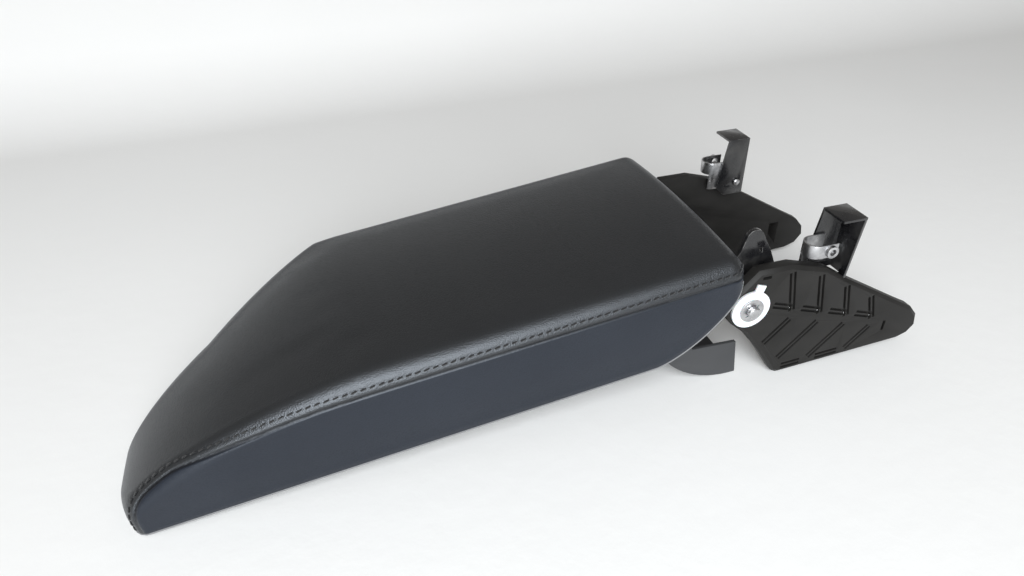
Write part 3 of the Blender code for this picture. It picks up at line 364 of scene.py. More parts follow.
def thread_finish(name, color):
    """Twisted sewing thread: strands across the stitch and a little fuzz."""
    made, tree, shader, place = blank_finish(name, color, 0.7, Sheen_Weight=0.2)
    strands = add_node(tree, "ShaderNodeTexWave", {"Vector": place, "Scale": 900.0, "Distortion": 1.5})
    fuzz = noise(tree, place, 3000.0, 2.0)
    toned = blend_colors(tree, strands.outputs["Fac"], color, tuple(1.8 * part for part in color))
    tree.links.new(toned, shader.inputs["Base Color"])
    tree.links.new(spread(tree, fuzz, 0.3, 0.7, 0.6, 0.8), shader.inputs["Roughness"])
    raise_grain(tree, shader, (strands.outputs["Fac"], 0.0001, 0.6), (fuzz, 0.00005, 0.4))
    return made


def paper_finish(name, color, light):
    """Pale paper under and behind the part, faintly uneven."""
    made, tree, shader, place = blank_finish(name, color, 0.9, Specular_IOR_Level=0.2)
    clouds = noise(tree, place, 2.2, 4.0)
    toned = blend_colors(tree, spread(tree, clouds, 0.3, 0.7, 0.0, 1.0), color, light)
    tree.links.new(toned, shader.inputs["Base Color"])
    raise_grain(tree, shader, (noise(tree, place, 60.0, 5.0), 0.002, 0.12))
    return made


def make_finishes():
    return {
        "top leather": leather_finish(
            "top_leather", (0.012, 0.012, 0.0125), (0.016, 0.016, 0.0165), 0.80 * MM, 0.17 * MM, 0.75),
        # The side leather is the top's leather made bluer: a painted cool tint of the window light on the
        # sides.
        "side leather": leather_finish(
            "side_leather", (0.009, 0.0115, 0.018), (0.0125, 0.0155, 0.023), 0.80 * MM, 0.06 * MM, 0.45),
        "foam": foam_finish("moulded_foam"),
        "core": moulded_finish(
            "core_plastic", (0.045, 0.045, 0.048), (0.055, 0.055, 0.058), 0.55, 0.08 * MM),
        "trim": moulded_finish(
            "dark_grey_trim", (0.042, 0.043, 0.046), (0.052, 0.053, 0.056), 0.55, 0.06 * MM),
        # Paler colour on the eased edges of the cover and the under panel.
        "pale trim edge": moulded_finish(
            "rubbed_trim", (0.085, 0.086, 0.09), (0.12, 0.121, 0.125), 0.5, 0.06 * MM),
        "plate": moulded_finish(
            "black_plate_plastic", (0.010, 0.0095, 0.009), (0.019, 0.018, 0.017), 0.5, 0.08 * MM, 0.22),
        # Lighter colour on the plates' eased edges: a painted highlight along them.
        "plate edge highlight": moulded_finish(
            "rubbed_plate", (0.07, 0.068, 0.066), (0.20, 0.197, 0.194), 0.4, 0.08 * MM, 0.5),
        "nylon": nylon_finish("natural_nylon"),
        "black steel": painted_finish("black_coated_steel", (0.008, 0.008, 0.009), 0.26),
        "worn steel": painted_finish("worn_coated_steel", (0.02, 0.02, 0.021), 0.3, 0.8),
        "zinc": metal_finish("zinc_plated_steel", (0.62, 0.62, 0.63), (0.42, 0.42, 0.43), 0.32),
        "spring": metal_finish("bright_spring_steel", (0.66, 0.66, 0.67), (0.34, 0.34, 0.35), 0.28),
        "thread": thread_finish("black_thread", (0.003, 0.003, 0.0035)),
        "edge": moulded_finish(
            "edge_bead_vinyl", (0.16, 0.16, 0.165), (0.19, 0.19, 0.195), 0.5, 0.04 * MM),
        "dot": metal_finish("polished_dot", (0.45, 0.45, 0.45), (0.28, 0.28, 0.28), 0.15),
    }


# Mesh helpers

def mesh_piece(name, bm, finish=None):
    mesh = bpy.data.meshes.new(name)
    bm.to_mesh(mesh)
    bm.free()
    obj = bpy.data.objects.new(name, mesh)
    bpy.context.scene.collection.objects.link(obj)
    if finish:
        mesh.materials.append(finish)
    return obj


def settle(obj):
    """Turns what the modifiers make of an object into its plain mesh."""
    bpy.context.view_layer.update()
    graph = bpy.context.evaluated_depsgraph_get()
    mesh = bpy.data.meshes.new_from_object(obj.evaluated_get(graph))
    obj.modifiers.clear()
    obj.data = mesh
    mesh.name = obj.name
    return obj


def smooth_but(obj, degrees):
    obj.data.shade_smooth()
    obj.data.set_sharp_from_angle(angle=math.radians(degrees))


def loft(bm, rings):
    """Skins equal closed rings in order and closes both ends."""
    rows = [[bm.verts.new(point) for point in ring] for ring in rings]
    for first, second in zip(rows, rows[1:]):
        for i in range(len(first)):
            j = (i + 1) % len(first)
            bm.faces.new((first[i], first[j], second[j], second[i]))
    bm.faces.new(rows[0])
    bm.faces.new(rows[-1][::-1])
    bmesh.ops.recalc_face_normals(bm, faces=bm.faces)


def finish_edges(node, finish, width, edge_wear_and_highlight=None, keep_angle=34.0):
    """A copy of a hard piece with its edges eased, and given a second finish there, standing for the piece
    itself: worn paint on steel, a painted highlight on the plates, paler plastic on the trim.
    """
    source = frame["nodes"][node]
    bm = bmesh.new()
    bm.from_mesh(source.data)
    bmesh.ops.remove_doubles(bm, verts=bm.verts, dist=0.002 * MM)
    bmesh.ops.dissolve_limit(bm, angle_limit=math.radians(0.4), verts=bm.verts, edges=bm.edges)
    piece = mesh_piece(f"{node}_finished", bm, finish)
    bevel = piece.modifiers.new("eased edges", "BEVEL")
    # The eased edges take the second finish: worn paint on the steel, a painted highlight on the plates,
    # paler plastic on the trim.
    if edge_wear_and_highlight:
        piece.data.materials.append(edge_wear_and_highlight)
        bevel.material = 1
    bevel.width = width
    bevel.segments = 2
    bevel.limit_method = "ANGLE"
    bevel.angle_limit = math.radians(keep_angle)
    bevel.harden_normals = False
    settle(piece)
    smooth_but(piece, 38.0)
    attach(piece, source["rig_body"])
    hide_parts(node)
    return piece


# Pad form

def rounding(radius, depth):
    """How far a round edge stands back, this deep behind the face that it ends in."""
    if depth >= radius or radius <= 0:
        return 0.0
    return radius - math.sqrt(radius**2 - (radius - depth) ** 2)


def share_to_tip(x, start, inset):
    return min(1.0, max(0.0, (start - x) / (start - PAD_TIP - inset)))


def top_at(x, inset):
    """Height of the pad's shoulders, falling in a curve to the nose."""
    fall = math.sqrt(1.0 - share_to_tip(x, FALL_X, inset) ** FALL_POWER)
    return PAD_FLOOR + (PAD_HEIGHT - inset) * fall - rounding(REAR_EDGE, PAD_REAR - inset - x)


def left_at(x, inset):
    """The straight left side, with its round corners at the tip and at the back."""
    side = -HALF_WIDTH + inset + rounding(REAR_EDGE, PAD_REAR - inset - x)
    into_corner = (PAD_TIP + inset + TIP_CORNER - x) / TIP_CORNER
    if into_corner <= 0:
        return side
    return side + (TIP_FROM_LEFT - inset) * (1 - math.sqrt(max(0.0, 1 - into_corner**2)))


def right_at(x, inset):
    """The right side, straight and then swept in to the tip."""
    share = share_to_tip(x, SWEEP_X, inset)
    across = PAD_WIDTH - TIP_FROM_LEFT - inset
    side = -HALF_WIDTH + TIP_FROM_LEFT + across * (1 - share**SWEEP_POWER) ** (1 / SWEEP_POWER)
    return side - rounding(REAR_EDGE, PAD_REAR - inset - x)


def heel_rise(x, inset):
    """How far the underside has risen at x, where it turns up into the back of the pad."""
    into_heel = 1.0 - (PAD_REAR - inset - x) / HEEL_LENGTH
    if into_heel <= 0:
        return 0.0
    return HEEL_HEIGHT * (1.0 - (1.0 - into_heel**HEEL_POWER) ** (1.0 / HEEL_POWER))


def section_sizes(x, inset, floor, heel):
    left = left_at(x, inset)
    right = right_at(x, inset)
    top = top_at(x, inset)
    bottom = min(floor + (heel_rise(x, inset) if heel else 0.0), top - LEAST_EDGE)
    sweep = share_to_tip(x, SWEEP_X, inset)
    most_drop = 0.7 * (top - (bottom if heel else PAD_FLOOR))
    drop = min(SHOULDER - inset / 2, most_drop)
    right_drop = min(drop + sweep * SWEEP_SHOULDER, most_drop)
    room = min(1.0, 0.8 * (right - left) / (drop + right_drop))
    return left, right, top, bottom, sweep, drop, right_drop, room


def pad_ring(x, inset, floor, heel, side_steps, shoulder_steps, top_steps):
    """One closed section of the pad at x, closest drawn round its shoulders."""
    left, right, top, bottom, sweep, drop, right_drop, room = section_sizes(x, inset, floor, heel)
    turn = min(BOTTOM_TURN, 0.2 * (right - left), 0.2 * (top - bottom))
    ring = [(left + turn, bottom), (left + 0.3 * turn, bottom + 0.3 * turn)]
    rise = [1 - (1 - step / side_steps) ** 1.7 for step in range(side_steps)]
    for share in rise:
        ring.append((left, bottom + turn + (top - drop - bottom - turn) * share))
    for step in range(shoulder_steps):
        angle = math.pi / 2 * step / shoulder_steps
        ring.append((left + room * drop * (1 - math.cos(angle)), top - drop * (1 - math.sin(angle))))
    start = left + room * drop
    end = right - room * right_drop
    for step in range(top_steps + 1):
        across = step / top_steps
        crown = PAD_CROWN * 4 * across * (1 - across) * (1 - sweep)
        ring.append((start + (end - start) * across, top + crown))
    for step in range(shoulder_steps - 1, -1, -1):
        angle = math.pi / 2 * step / shoulder_steps
        across = right - room * right_drop * (1 - math.cos(angle))
        ring.append((across, top - right_drop * (1 - math.sin(angle))))
    for share in reversed(rise):
        ring.append((right, bottom + turn + (top - right_drop - bottom - turn) * share))
    ring += [(right - 0.3 * turn, bottom + 0.3 * turn), (right - turn, bottom)]
    return [Vector((x, y, z)) for y, z in ring]


def even_stations(inset, spacing):
    """Places of the sections, evenly spaced along the pad's outlines from back to nose."""
    rear = PAD_REAR - inset
    front = PAD_TIP + inset + TIP_FLAT
    fine = [rear + (front - rear) * math.sin(math.pi / 2 * step / 4000) for step in range(4001)]
    walked = [0.0]
    for first, second in zip(fine, fine[1:]):
        step = Vector((second - first, top_at(second, inset) - top_at(first, inset)))
        sideways = max(
            abs(left_at(second, inset) - left_at(first, inset)),
            abs(right_at(second, inset) - right_at(first, inset)))
        walked.append(walked[-1] + math.hypot(step.length, 0.6 * sideways))
    count = max(8, round(walked[-1] / spacing))
    return list(np.interp(np.linspace(0.0, walked[-1], count + 1), walked, fine))


def pad_loft(name, inset, floor, heel, spacing, steps):
    bm = bmesh.new()
    loft(bm, [pad_ring(x, inset, floor, heel, *steps) for x in even_stations(inset, spacing)])
    return mesh_piece(name, bm)


def box_piece(name, low, high):
    bm = bmesh.new()
    ring = [(low[0], low[1]), (high[0], low[1]), (high[0], high[1]), (low[0], high[1])]
    loft(bm, [[Vector((x, y, z)) for x, y in ring] for z in (low[2], high[2])])
    return mesh_piece(name, bm)


def cut(target, *cutters):
    for cutter in cutters:
        modifier = target.modifiers.new("cut", "BOOLEAN")
        modifier.operation = "DIFFERENCE"
        modifier.object = cutter
        modifier.solver = "EXACT"
        settle(target)
        bpy.data.objects.remove(cutter, do_unlink=True)


# Seams on the pad

def curve_through(points, spacing):
    """A smooth line through these points, drawn at this spacing."""
    ends = [2 * points[0] - points[1]] + list(points) + [2 * points[-1] - points[-2]]
    drawn = []
    for a, b, c, d in zip(ends, ends[1:], ends[2:], ends[3:]):
        count = max(1, round((c - b).length / spacing))
        for step in range(count):
            t = step / count
            drawn.append(0.5 * (2 * b + (c - a) * t + (2 * a - 5 * b + 4 * c - d) * t**2
                                + (3 * b - a - 3 * c + d) * t**3))
    drawn.append(points[-1])
    return drawn


def surface_of(obj):
    """The object's faces as they lie now, for finding places on them."""
    corners = [vertex.co for vertex in obj.data.vertices]
    return BVHTree.FromPolygons(corners, [face.vertices for face in obj.data.polygons])


def on_side(tree, side, places):
    """Points of the pad's surface seen from one side at these places of a side view."""
    found = []
    for place in places:
        start = Vector((place.x, side * PAD_WIDTH, place.y))
        point, normal, _, _ = tree.ray_cast(start, Vector((0.0, -side, 0.0)))
        if point is not None:
            found.append((point, normal))
    return found


def seam_side_view(side):
    if side == LEFT:
        return curve_through([Vector((x * MM, z * MM)) for x, z in SEAM_SIDE_VIEW], MM)
    places = []
    for x in even_stations(0.0, 2.0 * MM)[2:]:
        _, _, top, bottom, _, _, right_drop, _ = section_sizes(x, 0.0, PAD_FLOOR, False)
        if x > PAD_TIP + 12.0 * MM:
            places.append(Vector((x, max(top - right_drop, bottom + 3.0 * MM))))
    return places


def beside(tree, line, side, distance):
    """The line on the surface that runs this far above a seam."""
    found = []
    for i, (point, normal) in enumerate(line):
        before = line[max(0, i - 2)][0]
        after = line[min(len(line) - 1, i + 2)][0]
        away = (after - before).normalized().cross(normal) * -side
        place, out, _, _ = tree.find_nearest(point + away * distance)
        found.append((place, out))
    return found


def line_distance(places, line):
    """Distance from each place to the nearest part of a line, in metres."""
    search = KDTree(len(line))
    for i, (point, _) in enumerate(line):
        search.insert(point, i)
    search.balance()
    found = np.empty(len(places))
    for i, place in enumerate(places):
        _, index, near = search.find(place)
        found[i] = near
        if near > 5 * MM:
            continue
        for other in (index - 1, index + 1):
            if 0 <= other < len(line):
                first = line[index][0]
                along = line[other][0] - first
                offset = Vector(place) - first
                share = max(0.0, min(1.0, offset.dot(along) / max(along.length_squared, 1e-12)))
                found[i] = min(found[i], (offset - along * share).length)
    return found


def places_of(obj):
    places = np.empty(len(obj.data.vertices) * 3)
    obj.data.vertices.foreach_get("co", places)
    return places.reshape(-1, 3)


def put_places(obj, places):
    obj.data.vertices.foreach_set("co", np.ascontiguousarray(places, float).ravel())
    obj.data.update()


def normals_of(obj):
    normals = np.empty(len(obj.data.vertices) * 3)
    obj.data.vertices.foreach_get("normal", normals)
    return normals.reshape(-1, 3)


def air_swell(pad, seams):
    """Cloth under light pressure, held at its seams and edges: how each point of the pad swells."""
    sack = bpy.data.objects.new("sack", pad.data.copy())
    bpy.context.scene.collection.objects.link(sack)
    remesh = sack.modifiers.new("even faces", "REMESH")
    remesh.mode = "VOXEL"
    remesh.voxel_size = SWELL_VOXEL
    settle(sack)
    rest = places_of(sack)
    held = np.min([line_distance(rest, seam) for seam in seams], axis=0) < HELD_BY_SEAM
    held |= rest[:, 2] < PAD_FLOOR + HELD_BY_EDGE
    held |= rest[:, 0] > PAD_REAR - HELD_BY_BACK
    group = sack.vertex_groups.new(name="held")
    group.add([int(i) for i in np.nonzero(held)[0]], 1.0, "REPLACE")
    cloth = sack.modifiers.new("cloth", "CLOTH")
    cloth.settings.vertex_group_mass = "held"
    cloth.settings.quality = 6
    cloth.settings.mass = 0.3
    cloth.settings.use_pressure = True
    cloth.settings.uniform_pressure_force = SWELL_PRESSURE
    cloth.settings.effector_weights.gravity = 0.0
    cloth.point_cache.frame_start = 1
    cloth.point_cache.frame_end = SWELL_FRAMES
    scene = bpy.context.scene
    for step in range(1, SWELL_FRAMES + 1):
        scene.frame_set(step)
    graph = bpy.context.evaluated_depsgraph_get()
    swollen = sack.evaluated_get(graph)
    moved = np.empty(len(rest) * 3)
    swollen.data.vertices.foreach_get("co", moved)
    outward = np.sum((moved.reshape(-1, 3) - rest) * normals_of(sack), axis=1)
    grown = SWELL_MOST * np.tanh(np.maximum(outward, 0.0) / SWELL_MOST)
    scene.frame_set(1)
    search = KDTree(len(rest))
    for i, place in enumerate(rest):
        search.insert(place, i)
    search.balance()
    carried = np.zeros(len(pad.data.vertices))
    for i, place in enumerate(places_of(pad)):
        near = search.find_n(place, 16)
        weights = np.array([1.0 / (distance + 3.0 * MM) ** 2 for _, _, distance in near])
        carried[i] = weights @ grown[[index for _, index, _ in near]] / weights.sum()
    bpy.data.objects.remove(sack, do_unlink=True)
    return carried


def leather_pad(finishes):
    """The sewn cover: swollen by its foam, drawn in along the seams, open where the hinge enters."""
    steps = (22, 22, 44)
    pad = pad_loft("leather_pad", SLACK, PAD_FLOOR, True, 1.7 * MM, steps)
    tree = surface_of(pad)
    seams = {}
    stitch_lines = {}
    for name, side in SIDES:
        seams[name] = on_side(tree, side, seam_side_view(side))
        stitch_lines[name] = beside(tree, seams[name], side, STITCH_FROM_SEAM)
    grown = air_swell(pad, list(seams.values()))
    places = places_of(pad)
    normals = normals_of(pad)
    to_seam = np.min([line_distance(places, line) for line in seams.values()], axis=0)
    to_stitch = np.min([line_distance(places, line) for line in stitch_lines.values()], axis=0)
    drawn_in = -SEAM_DEPTH * np.exp(-(to_seam / SEAM_WIDTH) ** 2)
    drawn_in += SEAM_LIP * np.exp(-((to_seam - SEAM_LIP_PLACE) / SEAM_LIP_WIDTH) ** 2)
    drawn_in -= STITCH_CHANNEL * np.exp(-(to_stitch / STITCH_CHANNEL_WIDTH) ** 2)
    put_places(pad, places + normals * (grown + drawn_in)[:, None])
    surface = surface_of(pad)
    split_panels(pad, finishes)
    inside = pad_loft("inside", LEATHER, PAD_FLOOR - PAD_HEIGHT, False, 5.0 * MM, (3, 6, 10))
    half = HALF_WIDTH - POCKET_WALL
    pocket = box_piece(
        "pocket", (POCKET_FRONT, -half, PAD_FLOOR - PAD_HEIGHT), (-PAD_REAR, half, POCKET_ROOF))
    cut(pad, inside, pocket)
    places = places_of(pad)
    for attribute, lines in (("seam", seams), ("stitch", stitch_lines)):
        near = np.min([line_distance(places, line) for line in lines.values()], axis=0)
        stored = pad.data.attributes.new(attribute, "FLOAT", "POINT")
        stored.data.foreach_set("value", (near / MM).astype(np.float32))
    pad.data.transform(LID_TO_ROW)
    smooth_but(pad, 42.0)
    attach(pad, "lid")
    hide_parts("leather_cover")
    resettled = {}
    for name, line in stitch_lines.items():
        resettled[name] = [surface.find_nearest(point)[:2] for point, _ in line]
    return resettled


def split_panels(pad, finishes):
    """Top leather over the top and nose; side leather, the same leather with a painted cool tint, below the
    seam on both sides.
    """
    pad.data.materials.append(finishes["top leather"])
    pad.data.materials.append(finishes["side leather"])
    lines = {side: seam_side_view(side) for _, side in SIDES}
    heights = {}
    for side, line in lines.items():
        xs = np.array([place.x for place in line])
        order = np.argsort(xs)
        heights[side] = (xs[order], np.array([place.y for place in line])[order])
    for face in pad.data.polygons:
        middle = face.center
        side = LEFT if face.normal.y < 0 else RIGHT
        xs, zs = heights[side]
        if middle.x < xs[0] or abs(face.normal.y) < 0.3:
            continue
        if middle.z < np.interp(middle.x, xs, zs):
            face.material_index = 1


# Pieces that repeat or follow a line

def new_tree(name, *sockets):
    tree = bpy.data.node_groups.new(name, "GeometryNodeTree")
    tree.interface.new_socket("Geometry", in_out="INPUT", socket_type="NodeSocketGeometry")
    for label, kind in sockets:
        tree.interface.new_socket(label, in_out="INPUT", socket_type=kind)
    tree.interface.new_socket("Geometry", in_out="OUTPUT", socket_type="NodeSocketGeometry")
    return tree, tree.nodes.new("NodeGroupInput").outputs, tree.nodes.new("NodeGroupOutput").inputs


def aligned(tree, out):
    """Turns a piece along the line, with its back to the surface."""
    tangent = add_node(tree, "GeometryNodeInputTangent").outputs["Tangent"]
    along = add_node(tree, "FunctionNodeAlignRotationToVector", {"Vector": tangent}, axis="X")
    return add_node(tree, "FunctionNodeAlignRotationToVector", {
        "Rotation": along.outputs["Rotation"], "Vector": out}, axis="Z", pivot_axis="X").outputs["Rotation"]


def sewing_tree():
    """Sets one stitch after another along a line, at an even pitch."""
    tree, given, result = new_tree(
        "sew along a line", ("Pitch", "NodeSocketFloat"), ("Stitch", "NodeSocketObject"),
        ("Thread", "NodeSocketMaterial"))
    out = add_node(tree, "GeometryNodeInputNamedAttribute", {"Name": "out"}, data_type="FLOAT_VECTOR")
    line = add_node(tree, "GeometryNodeMeshToCurve", {"Mesh": given["Geometry"]})
    even = add_node(tree, "GeometryNodeResampleCurve", {
        "Curve": line.outputs["Curve"], "Length": given["Pitch"]}, mode="LENGTH")
    stitch = add_node(tree, "GeometryNodeObjectInfo", {"Object": given["Stitch"]})
    put = add_node(tree, "GeometryNodeInstanceOnPoints", {
        "Points": even.outputs["Curve"], "Instance": stitch.outputs["Geometry"],
        "Rotation": aligned(tree, out.outputs["Attribute"])})
    real = add_node(tree, "GeometryNodeRealizeInstances", {"Geometry": put.outputs["Instances"]})
    dressed = add_node(tree, "GeometryNodeSetMaterial", {
        "Geometry": real.outputs["Geometry"], "Material": given["Thread"]})
    tree.links.new(dressed.outputs["Geometry"], result["Geometry"])
    return tree


def bead_tree():
    """Draws a round bead along a line."""
    tree, given, result = new_tree(
        "bead along a line", ("Radius", "NodeSocketFloat"), ("Vinyl", "NodeSocketMaterial"))
    line = add_node(tree, "GeometryNodeMeshToCurve", {"Mesh": given["Geometry"]})
    even = add_node(tree, "GeometryNodeResampleCurve", {
        "Curve": line.outputs["Curve"], "Length": 3.0 * MM}, mode="LENGTH")
    round_edge = add_node(tree, "GeometryNodeCurvePrimitiveCircle", {
        "Resolution": 8, "Radius": given["Radius"]})
    swept = add_node(tree, "GeometryNodeCurveToMesh", {
        "Curve": even.outputs["Curve"], "Profile Curve": round_edge.outputs["Curve"], "Fill Caps": True})
    real = add_node(tree, "GeometryNodeRealizeInstances", {"Geometry": swept.outputs["Mesh"]})
    dressed = add_node(tree, "GeometryNodeSetMaterial", {
        "Geometry": real.outputs["Geometry"], "Material": given["Vinyl"]})
    tree.links.new(dressed.outputs["Geometry"], result["Geometry"])
    return tree


def dot_tree():
    """Sets the same small piece on every point, standing out of its surface."""
    tree, given, result = new_tree(
        "set on points", ("Dot", "NodeSocketObject"), ("Polish", "NodeSocketMaterial"))
    out = add_node(tree, "GeometryNodeInputNamedAttribute", {"Name": "out"}, data_type="FLOAT_VECTOR")
    dot = add_node(tree, "GeometryNodeObjectInfo", {"Object": given["Dot"]})
    turned = add_node(tree, "FunctionNodeAlignRotationToVector", {
        "Vector": out.outputs["Attribute"]}, axis="Z")
    put = add_node(tree, "GeometryNodeInstanceOnPoints", {
        "Points": given["Geometry"], "Instance": dot.outputs["Geometry"],
        "Rotation": turned.outputs["Rotation"]})
    real = add_node(tree, "GeometryNodeRealizeInstances", {"Geometry": put.outputs["Instances"]})
    dressed = add_node(tree, "GeometryNodeSetMaterial", {
        "Geometry": real.outputs["Geometry"], "Material": given["Polish"]})
    tree.links.new(dressed.outputs["Geometry"], result["Geometry"])
    return tree


def line_object(name, line, joined=True):
    """Points with their outward directions, joined in a row or left loose."""
    mesh = bpy.data.meshes.new(name)
    edges = [(i, i + 1) for i in range(len(line) - 1)] if joined else []
    mesh.from_pydata([point for point, _ in line], edges, [])
    out = mesh.attributes.new("out", "FLOAT_VECTOR", "POINT")
    out.data.foreach_set("vector", np.array([normal for _, normal in line], np.float32).ravel())
    obj = bpy.data.objects.new(name, mesh)
    bpy.context.scene.collection.objects.link(obj)
    return obj


def grow_piece(obj, tree, body, **values):
    """Runs a tree on a line or on points and keeps the plain mesh that comes out."""
    modifier = obj.modifiers.new("made", "NODES")
    modifier.node_group = tree
    for item in tree.interface.items_tree:
        if item.in_out == "INPUT" and item.name in values:
            modifier[item.identifier] = values[item.name]
    settle(obj)
    obj.data.shade_smooth()
    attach(obj, body)
    return obj


def round_turn(count):
    """Directions round a full turn, as pairs of shares across and up."""
    return [
        (math.cos(2 * math.pi * turn / count), math.sin(2 * math.pi * turn / count))
        for turn in range(count)]


def one_stitch():
    """A short thread that dives into the leather at both ends, slightly slanted."""
    bm = bmesh.new()
    rings = []
    for step in range(9):
        along = -1 + step / 4
        height = STITCH_RISE - STITCH_DIVE * along**6
        middle = Vector((along * STITCH_LENGTH / 2, along * STITCH_SLANT, height))
        radius = STITCH_RADIUS * math.sqrt(max(0.12, 1 - along**6))
        rings.append([
            middle + Vector((0.0, radius * across, STITCH_FLATNESS * radius * up))
            for across, up in round_turn(8)])
    loft(bm, rings)
    return mesh_piece("one_stitch", bm)


def one_dot():
    """A shallow polished disc, domed in the middle."""
    bm = bmesh.new()
    rings = []
    for radius, height in DOT_PROFILE:
        rings.append([
            Vector((radius * across, radius * up, height)) * DOT_RADIUS
            for across, up in round_turn(12)])
    loft(bm, rings)
    return mesh_piece("one_dot", bm)


def sew(stitch_lines, finishes):
    """Runs of stitches beside both seams."""
    tree = sewing_tree()
    stitch = one_stitch()
    for name, line in stitch_lines.items():
        line = [(point, normal) for point, normal in line if point.z > PAD_FLOOR + 4 * MM]
        thread = line_object(f"stitches_{name}", line)
        thread.data.transform(LID_TO_ROW)
        turned = LID_TO_ROW.to_3x3()
        out = np.array([turned @ Vector(normal) for _, normal in line], np.float32)
        thread.data.attributes["out"].data.foreach_set("vector", out.ravel())
        piece = grow_piece(
            thread, tree, "lid", Pitch=STITCH_PITCH, Stitch=stitch, Thread=finishes["thread"])
    bpy.data.objects.remove(stitch, do_unlink=True)


def edge_bead(finishes):
    """Thin bead round the pad's lower edge, up both heels and round the nose."""
    left_line = []
    right_line = []
    for x in even_stations(SLACK, 3.0 * MM):
        left, right, _, bottom, _, _, _, _ = section_sizes(x, SLACK, PAD_FLOOR, True)
        if x < PAD_REAR - 2.0 * MM:
            height = bottom + 0.5 * BEAD_RADIUS
            left_line.append(Vector((x, left + 1.2 * BEAD_RADIUS, height)))
            right_line.append(Vector((x, right - 1.2 * BEAD_RADIUS, height)))
    points = left_line + right_line[::-1]
    bead = line_object("edge_bead", [(point, Vector((0.0, 0.0, -1.0))) for point in points])
    bead.data.transform(LID_TO_ROW)
    piece = grow_piece(bead, bead_tree(), "lid", Radius=BEAD_RADIUS, Vinyl=finishes["edge"])


def dot_places():
    """Feet of the upright channels and lower ends of the slanting ones, in millimetres."""
    places = []
    for row, reach in enumerate(SLANT_REACHES):
        across = GROOVE_STEP[0] * row
        down = GROOVE_STEP[1] * row
        places.append((UPRIGHT_FOOT[0] + across, UPRIGHT_FOOT[1] + down))
        places.append((SLANT_HEAD[0] + across - reach, SLANT_HEAD[1] + down - reach))
    return places


def plate_dots(finishes):
    """Polished ejector marks at the ends of the side plates' channels."""
    tree = dot_tree()
    dot = one_dot()
    for name, side in SIDES:
        y = side * (PLATE_FACE - GROOVE_DEPTH)
        points = []
        for x, z in dot_places():
            place = Vector((AXIS.x + x * MM, y, AXIS.z + z * MM))
            points.append((place, Vector((0.0, side, 0.0))))
        piece = grow_piece(line_object(f"plate_dots_{name}", points, False), tree, "base",
                           Dot=dot, Polish=finishes["dot"])
    bpy.data.objects.remove(dot, do_unlink=True)


def dress_hard_pieces(finishes):
    """Every hard piece of the hinge and the lid, with eased edges and its own finish."""
    eased = {
        "side_plate": ("plate", 0.45, "plate edge highlight"), "bushing": ("nylon", 0.35, None),
        "star_ring": ("zinc", 0.15, None), "rod_spacer": ("nylon", 0.3, None),
        "clip_bracket": ("black steel", 0.3, "worn steel"), "spring_clip": ("spring", 0.25, None),
        "clip_rivet": ("zinc", 0.2, None), "hinge_arm": ("black steel", 0.35, "worn steel"),
        "arm_screw_front": ("zinc", 0.15, None), "arm_screw_rear": ("zinc", 0.15, None),
        "cover_screw": ("zinc", 0.15, None), "panel_screw_rear": ("zinc", 0.15, None),
    }
    for kind, (finish, width, edge_wear_and_highlight) in eased.items():
        for name, _ in SIDES:
            finish_edges(f"{kind}_{name}", finishes[finish], width * MM, finishes.get(edge_wear_and_highlight))
    for node, finish, width, edge_wear_and_highlight in (
        ("hinge_rod", "zinc", 0.15, None), ("rear_cover", "trim", 0.5, "pale trim edge"),
        ("under_panel", "trim", 0.5, "pale trim edge"), ("panel_screw_front", "zinc", 0.15, None),
    ):
        finish_edges(node, finishes[finish], width * MM, finishes.get(edge_wear_and_highlight))
    for node, finish in (("foam_pad", "foam"), ("lid_core", "core")):
        data = frame["nodes"][node].data
        data.materials.clear()
        data.materials.append(finishes[finish])


# Stage, lamps and camera

def stage_set():
    """Pale paper that lies flat under the part and rises a little behind it."""
    bm = bmesh.new()
    profile = [(PAPER_FRONT, 0.0), (PAPER_BEND, 0.0)]
    for step in range(1, 9):
        angle = PAPER_SLOPE * step / 8
        y = PAPER_BEND + PAPER_BEND_RADIUS * math.sin(angle)
        profile.append((y, PAPER_BEND_RADIUS * (1 - math.cos(angle))))
    profile.append(PAPER_BACK)
    rows = [[bm.verts.new((x, y, z)) for y, z in profile] for x in (-PAPER_SIDE, PAPER_SIDE)]
    for i in range(len(profile) - 1):
        bm.faces.new((rows[0][i], rows[1][i], rows[1][i + 1], rows[0][i + 1]))
    finish = paper_finish("pale_paper", (0.865, 0.86, 0.85), (0.895, 0.89, 0.88))
    paper = mesh_piece("paper", bm, finish)
    paper.data.shade_smooth()


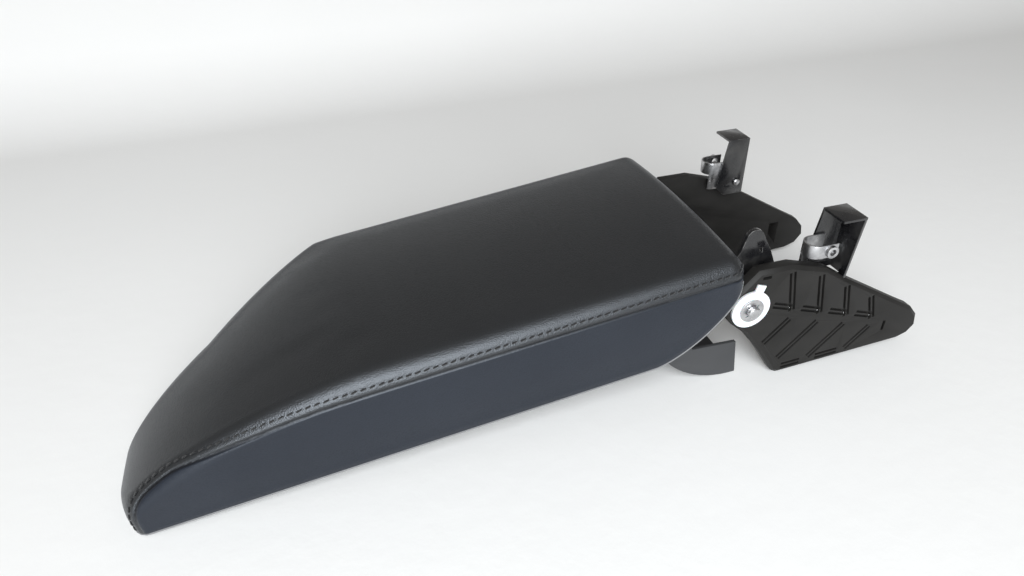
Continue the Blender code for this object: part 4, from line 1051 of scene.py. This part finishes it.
def softbox(name, place, aim, width, height, power, color):
    lamp = bpy.data.lights.new(name, "AREA")
    lamp.shape = "RECTANGLE"
    lamp.size = width
    lamp.size_y = height
    lamp.energy = power
    lamp.color = color
    obj = bpy.data.objects.new(name, lamp)
    bpy.context.scene.collection.objects.link(obj)
    obj.location = place
    obj.rotation_euler = (Vector(aim) - Vector(place)).to_track_quat("-Z", "Y").to_euler()


def light_set():
    """Soft daylight from a tall window on the viewer's side, and a dim even room."""
    world = bpy.data.worlds.new("studio")
    bpy.context.scene.world = world
    world.use_nodes = True
    background = world.node_tree.nodes["Background"]
    background.inputs["Color"].default_value = (1.0, 0.97, 0.93, 1.0)
    background.inputs["Strength"].default_value = 0.26
    place = (-0.42, -1.62, 1.02)
    aim = (-0.08, 0.0, 0.05)
    softbox("window", place, aim, 1.2, 1.85, 66.0, (0.94, 0.975, 1.0))


def aim_camera():
    """The camera where the photograph was taken from."""
    forward = Vector((
        -math.sin(CAMERA_TURN) * math.cos(CAMERA_DOWN),
        math.cos(CAMERA_TURN) * math.cos(CAMERA_DOWN),
        -math.sin(CAMERA_DOWN)))
    right = Vector((math.cos(CAMERA_TURN), math.sin(CAMERA_TURN), 0.0))
    up = right.cross(forward)
    level_right = math.cos(CAMERA_ROLL) * right + math.sin(CAMERA_ROLL) * up
    level_up = -math.sin(CAMERA_ROLL) * right + math.cos(CAMERA_ROLL) * up
    lens = bpy.data.cameras.new("camera")
    lens.sensor_width = SENSOR_WIDTH
    lens.lens = FOCAL_PIXELS / PICTURE_WIDTH * SENSOR_WIDTH
    lens.clip_start = 0.01
    camera = bpy.data.objects.new("camera", lens)
    bpy.context.scene.collection.objects.link(camera)
    columns = Matrix((level_right, level_up, -forward)).transposed()
    camera.matrix_world = Matrix.Translation(AXIS + CAMERA_PLACE) @ columns.to_4x4()
    bpy.context.scene.camera = camera


def build():
    bpy.context.scene.view_settings.view_transform = "Standard"
    finishes = make_finishes()
    stitch_lines = leather_pad(finishes)
    sew(stitch_lines, finishes)
    edge_bead(finishes)
    dress_hard_pieces(finishes)
    plate_dots(finishes)
    stage_set()
    light_set()
    aim_camera()


build()
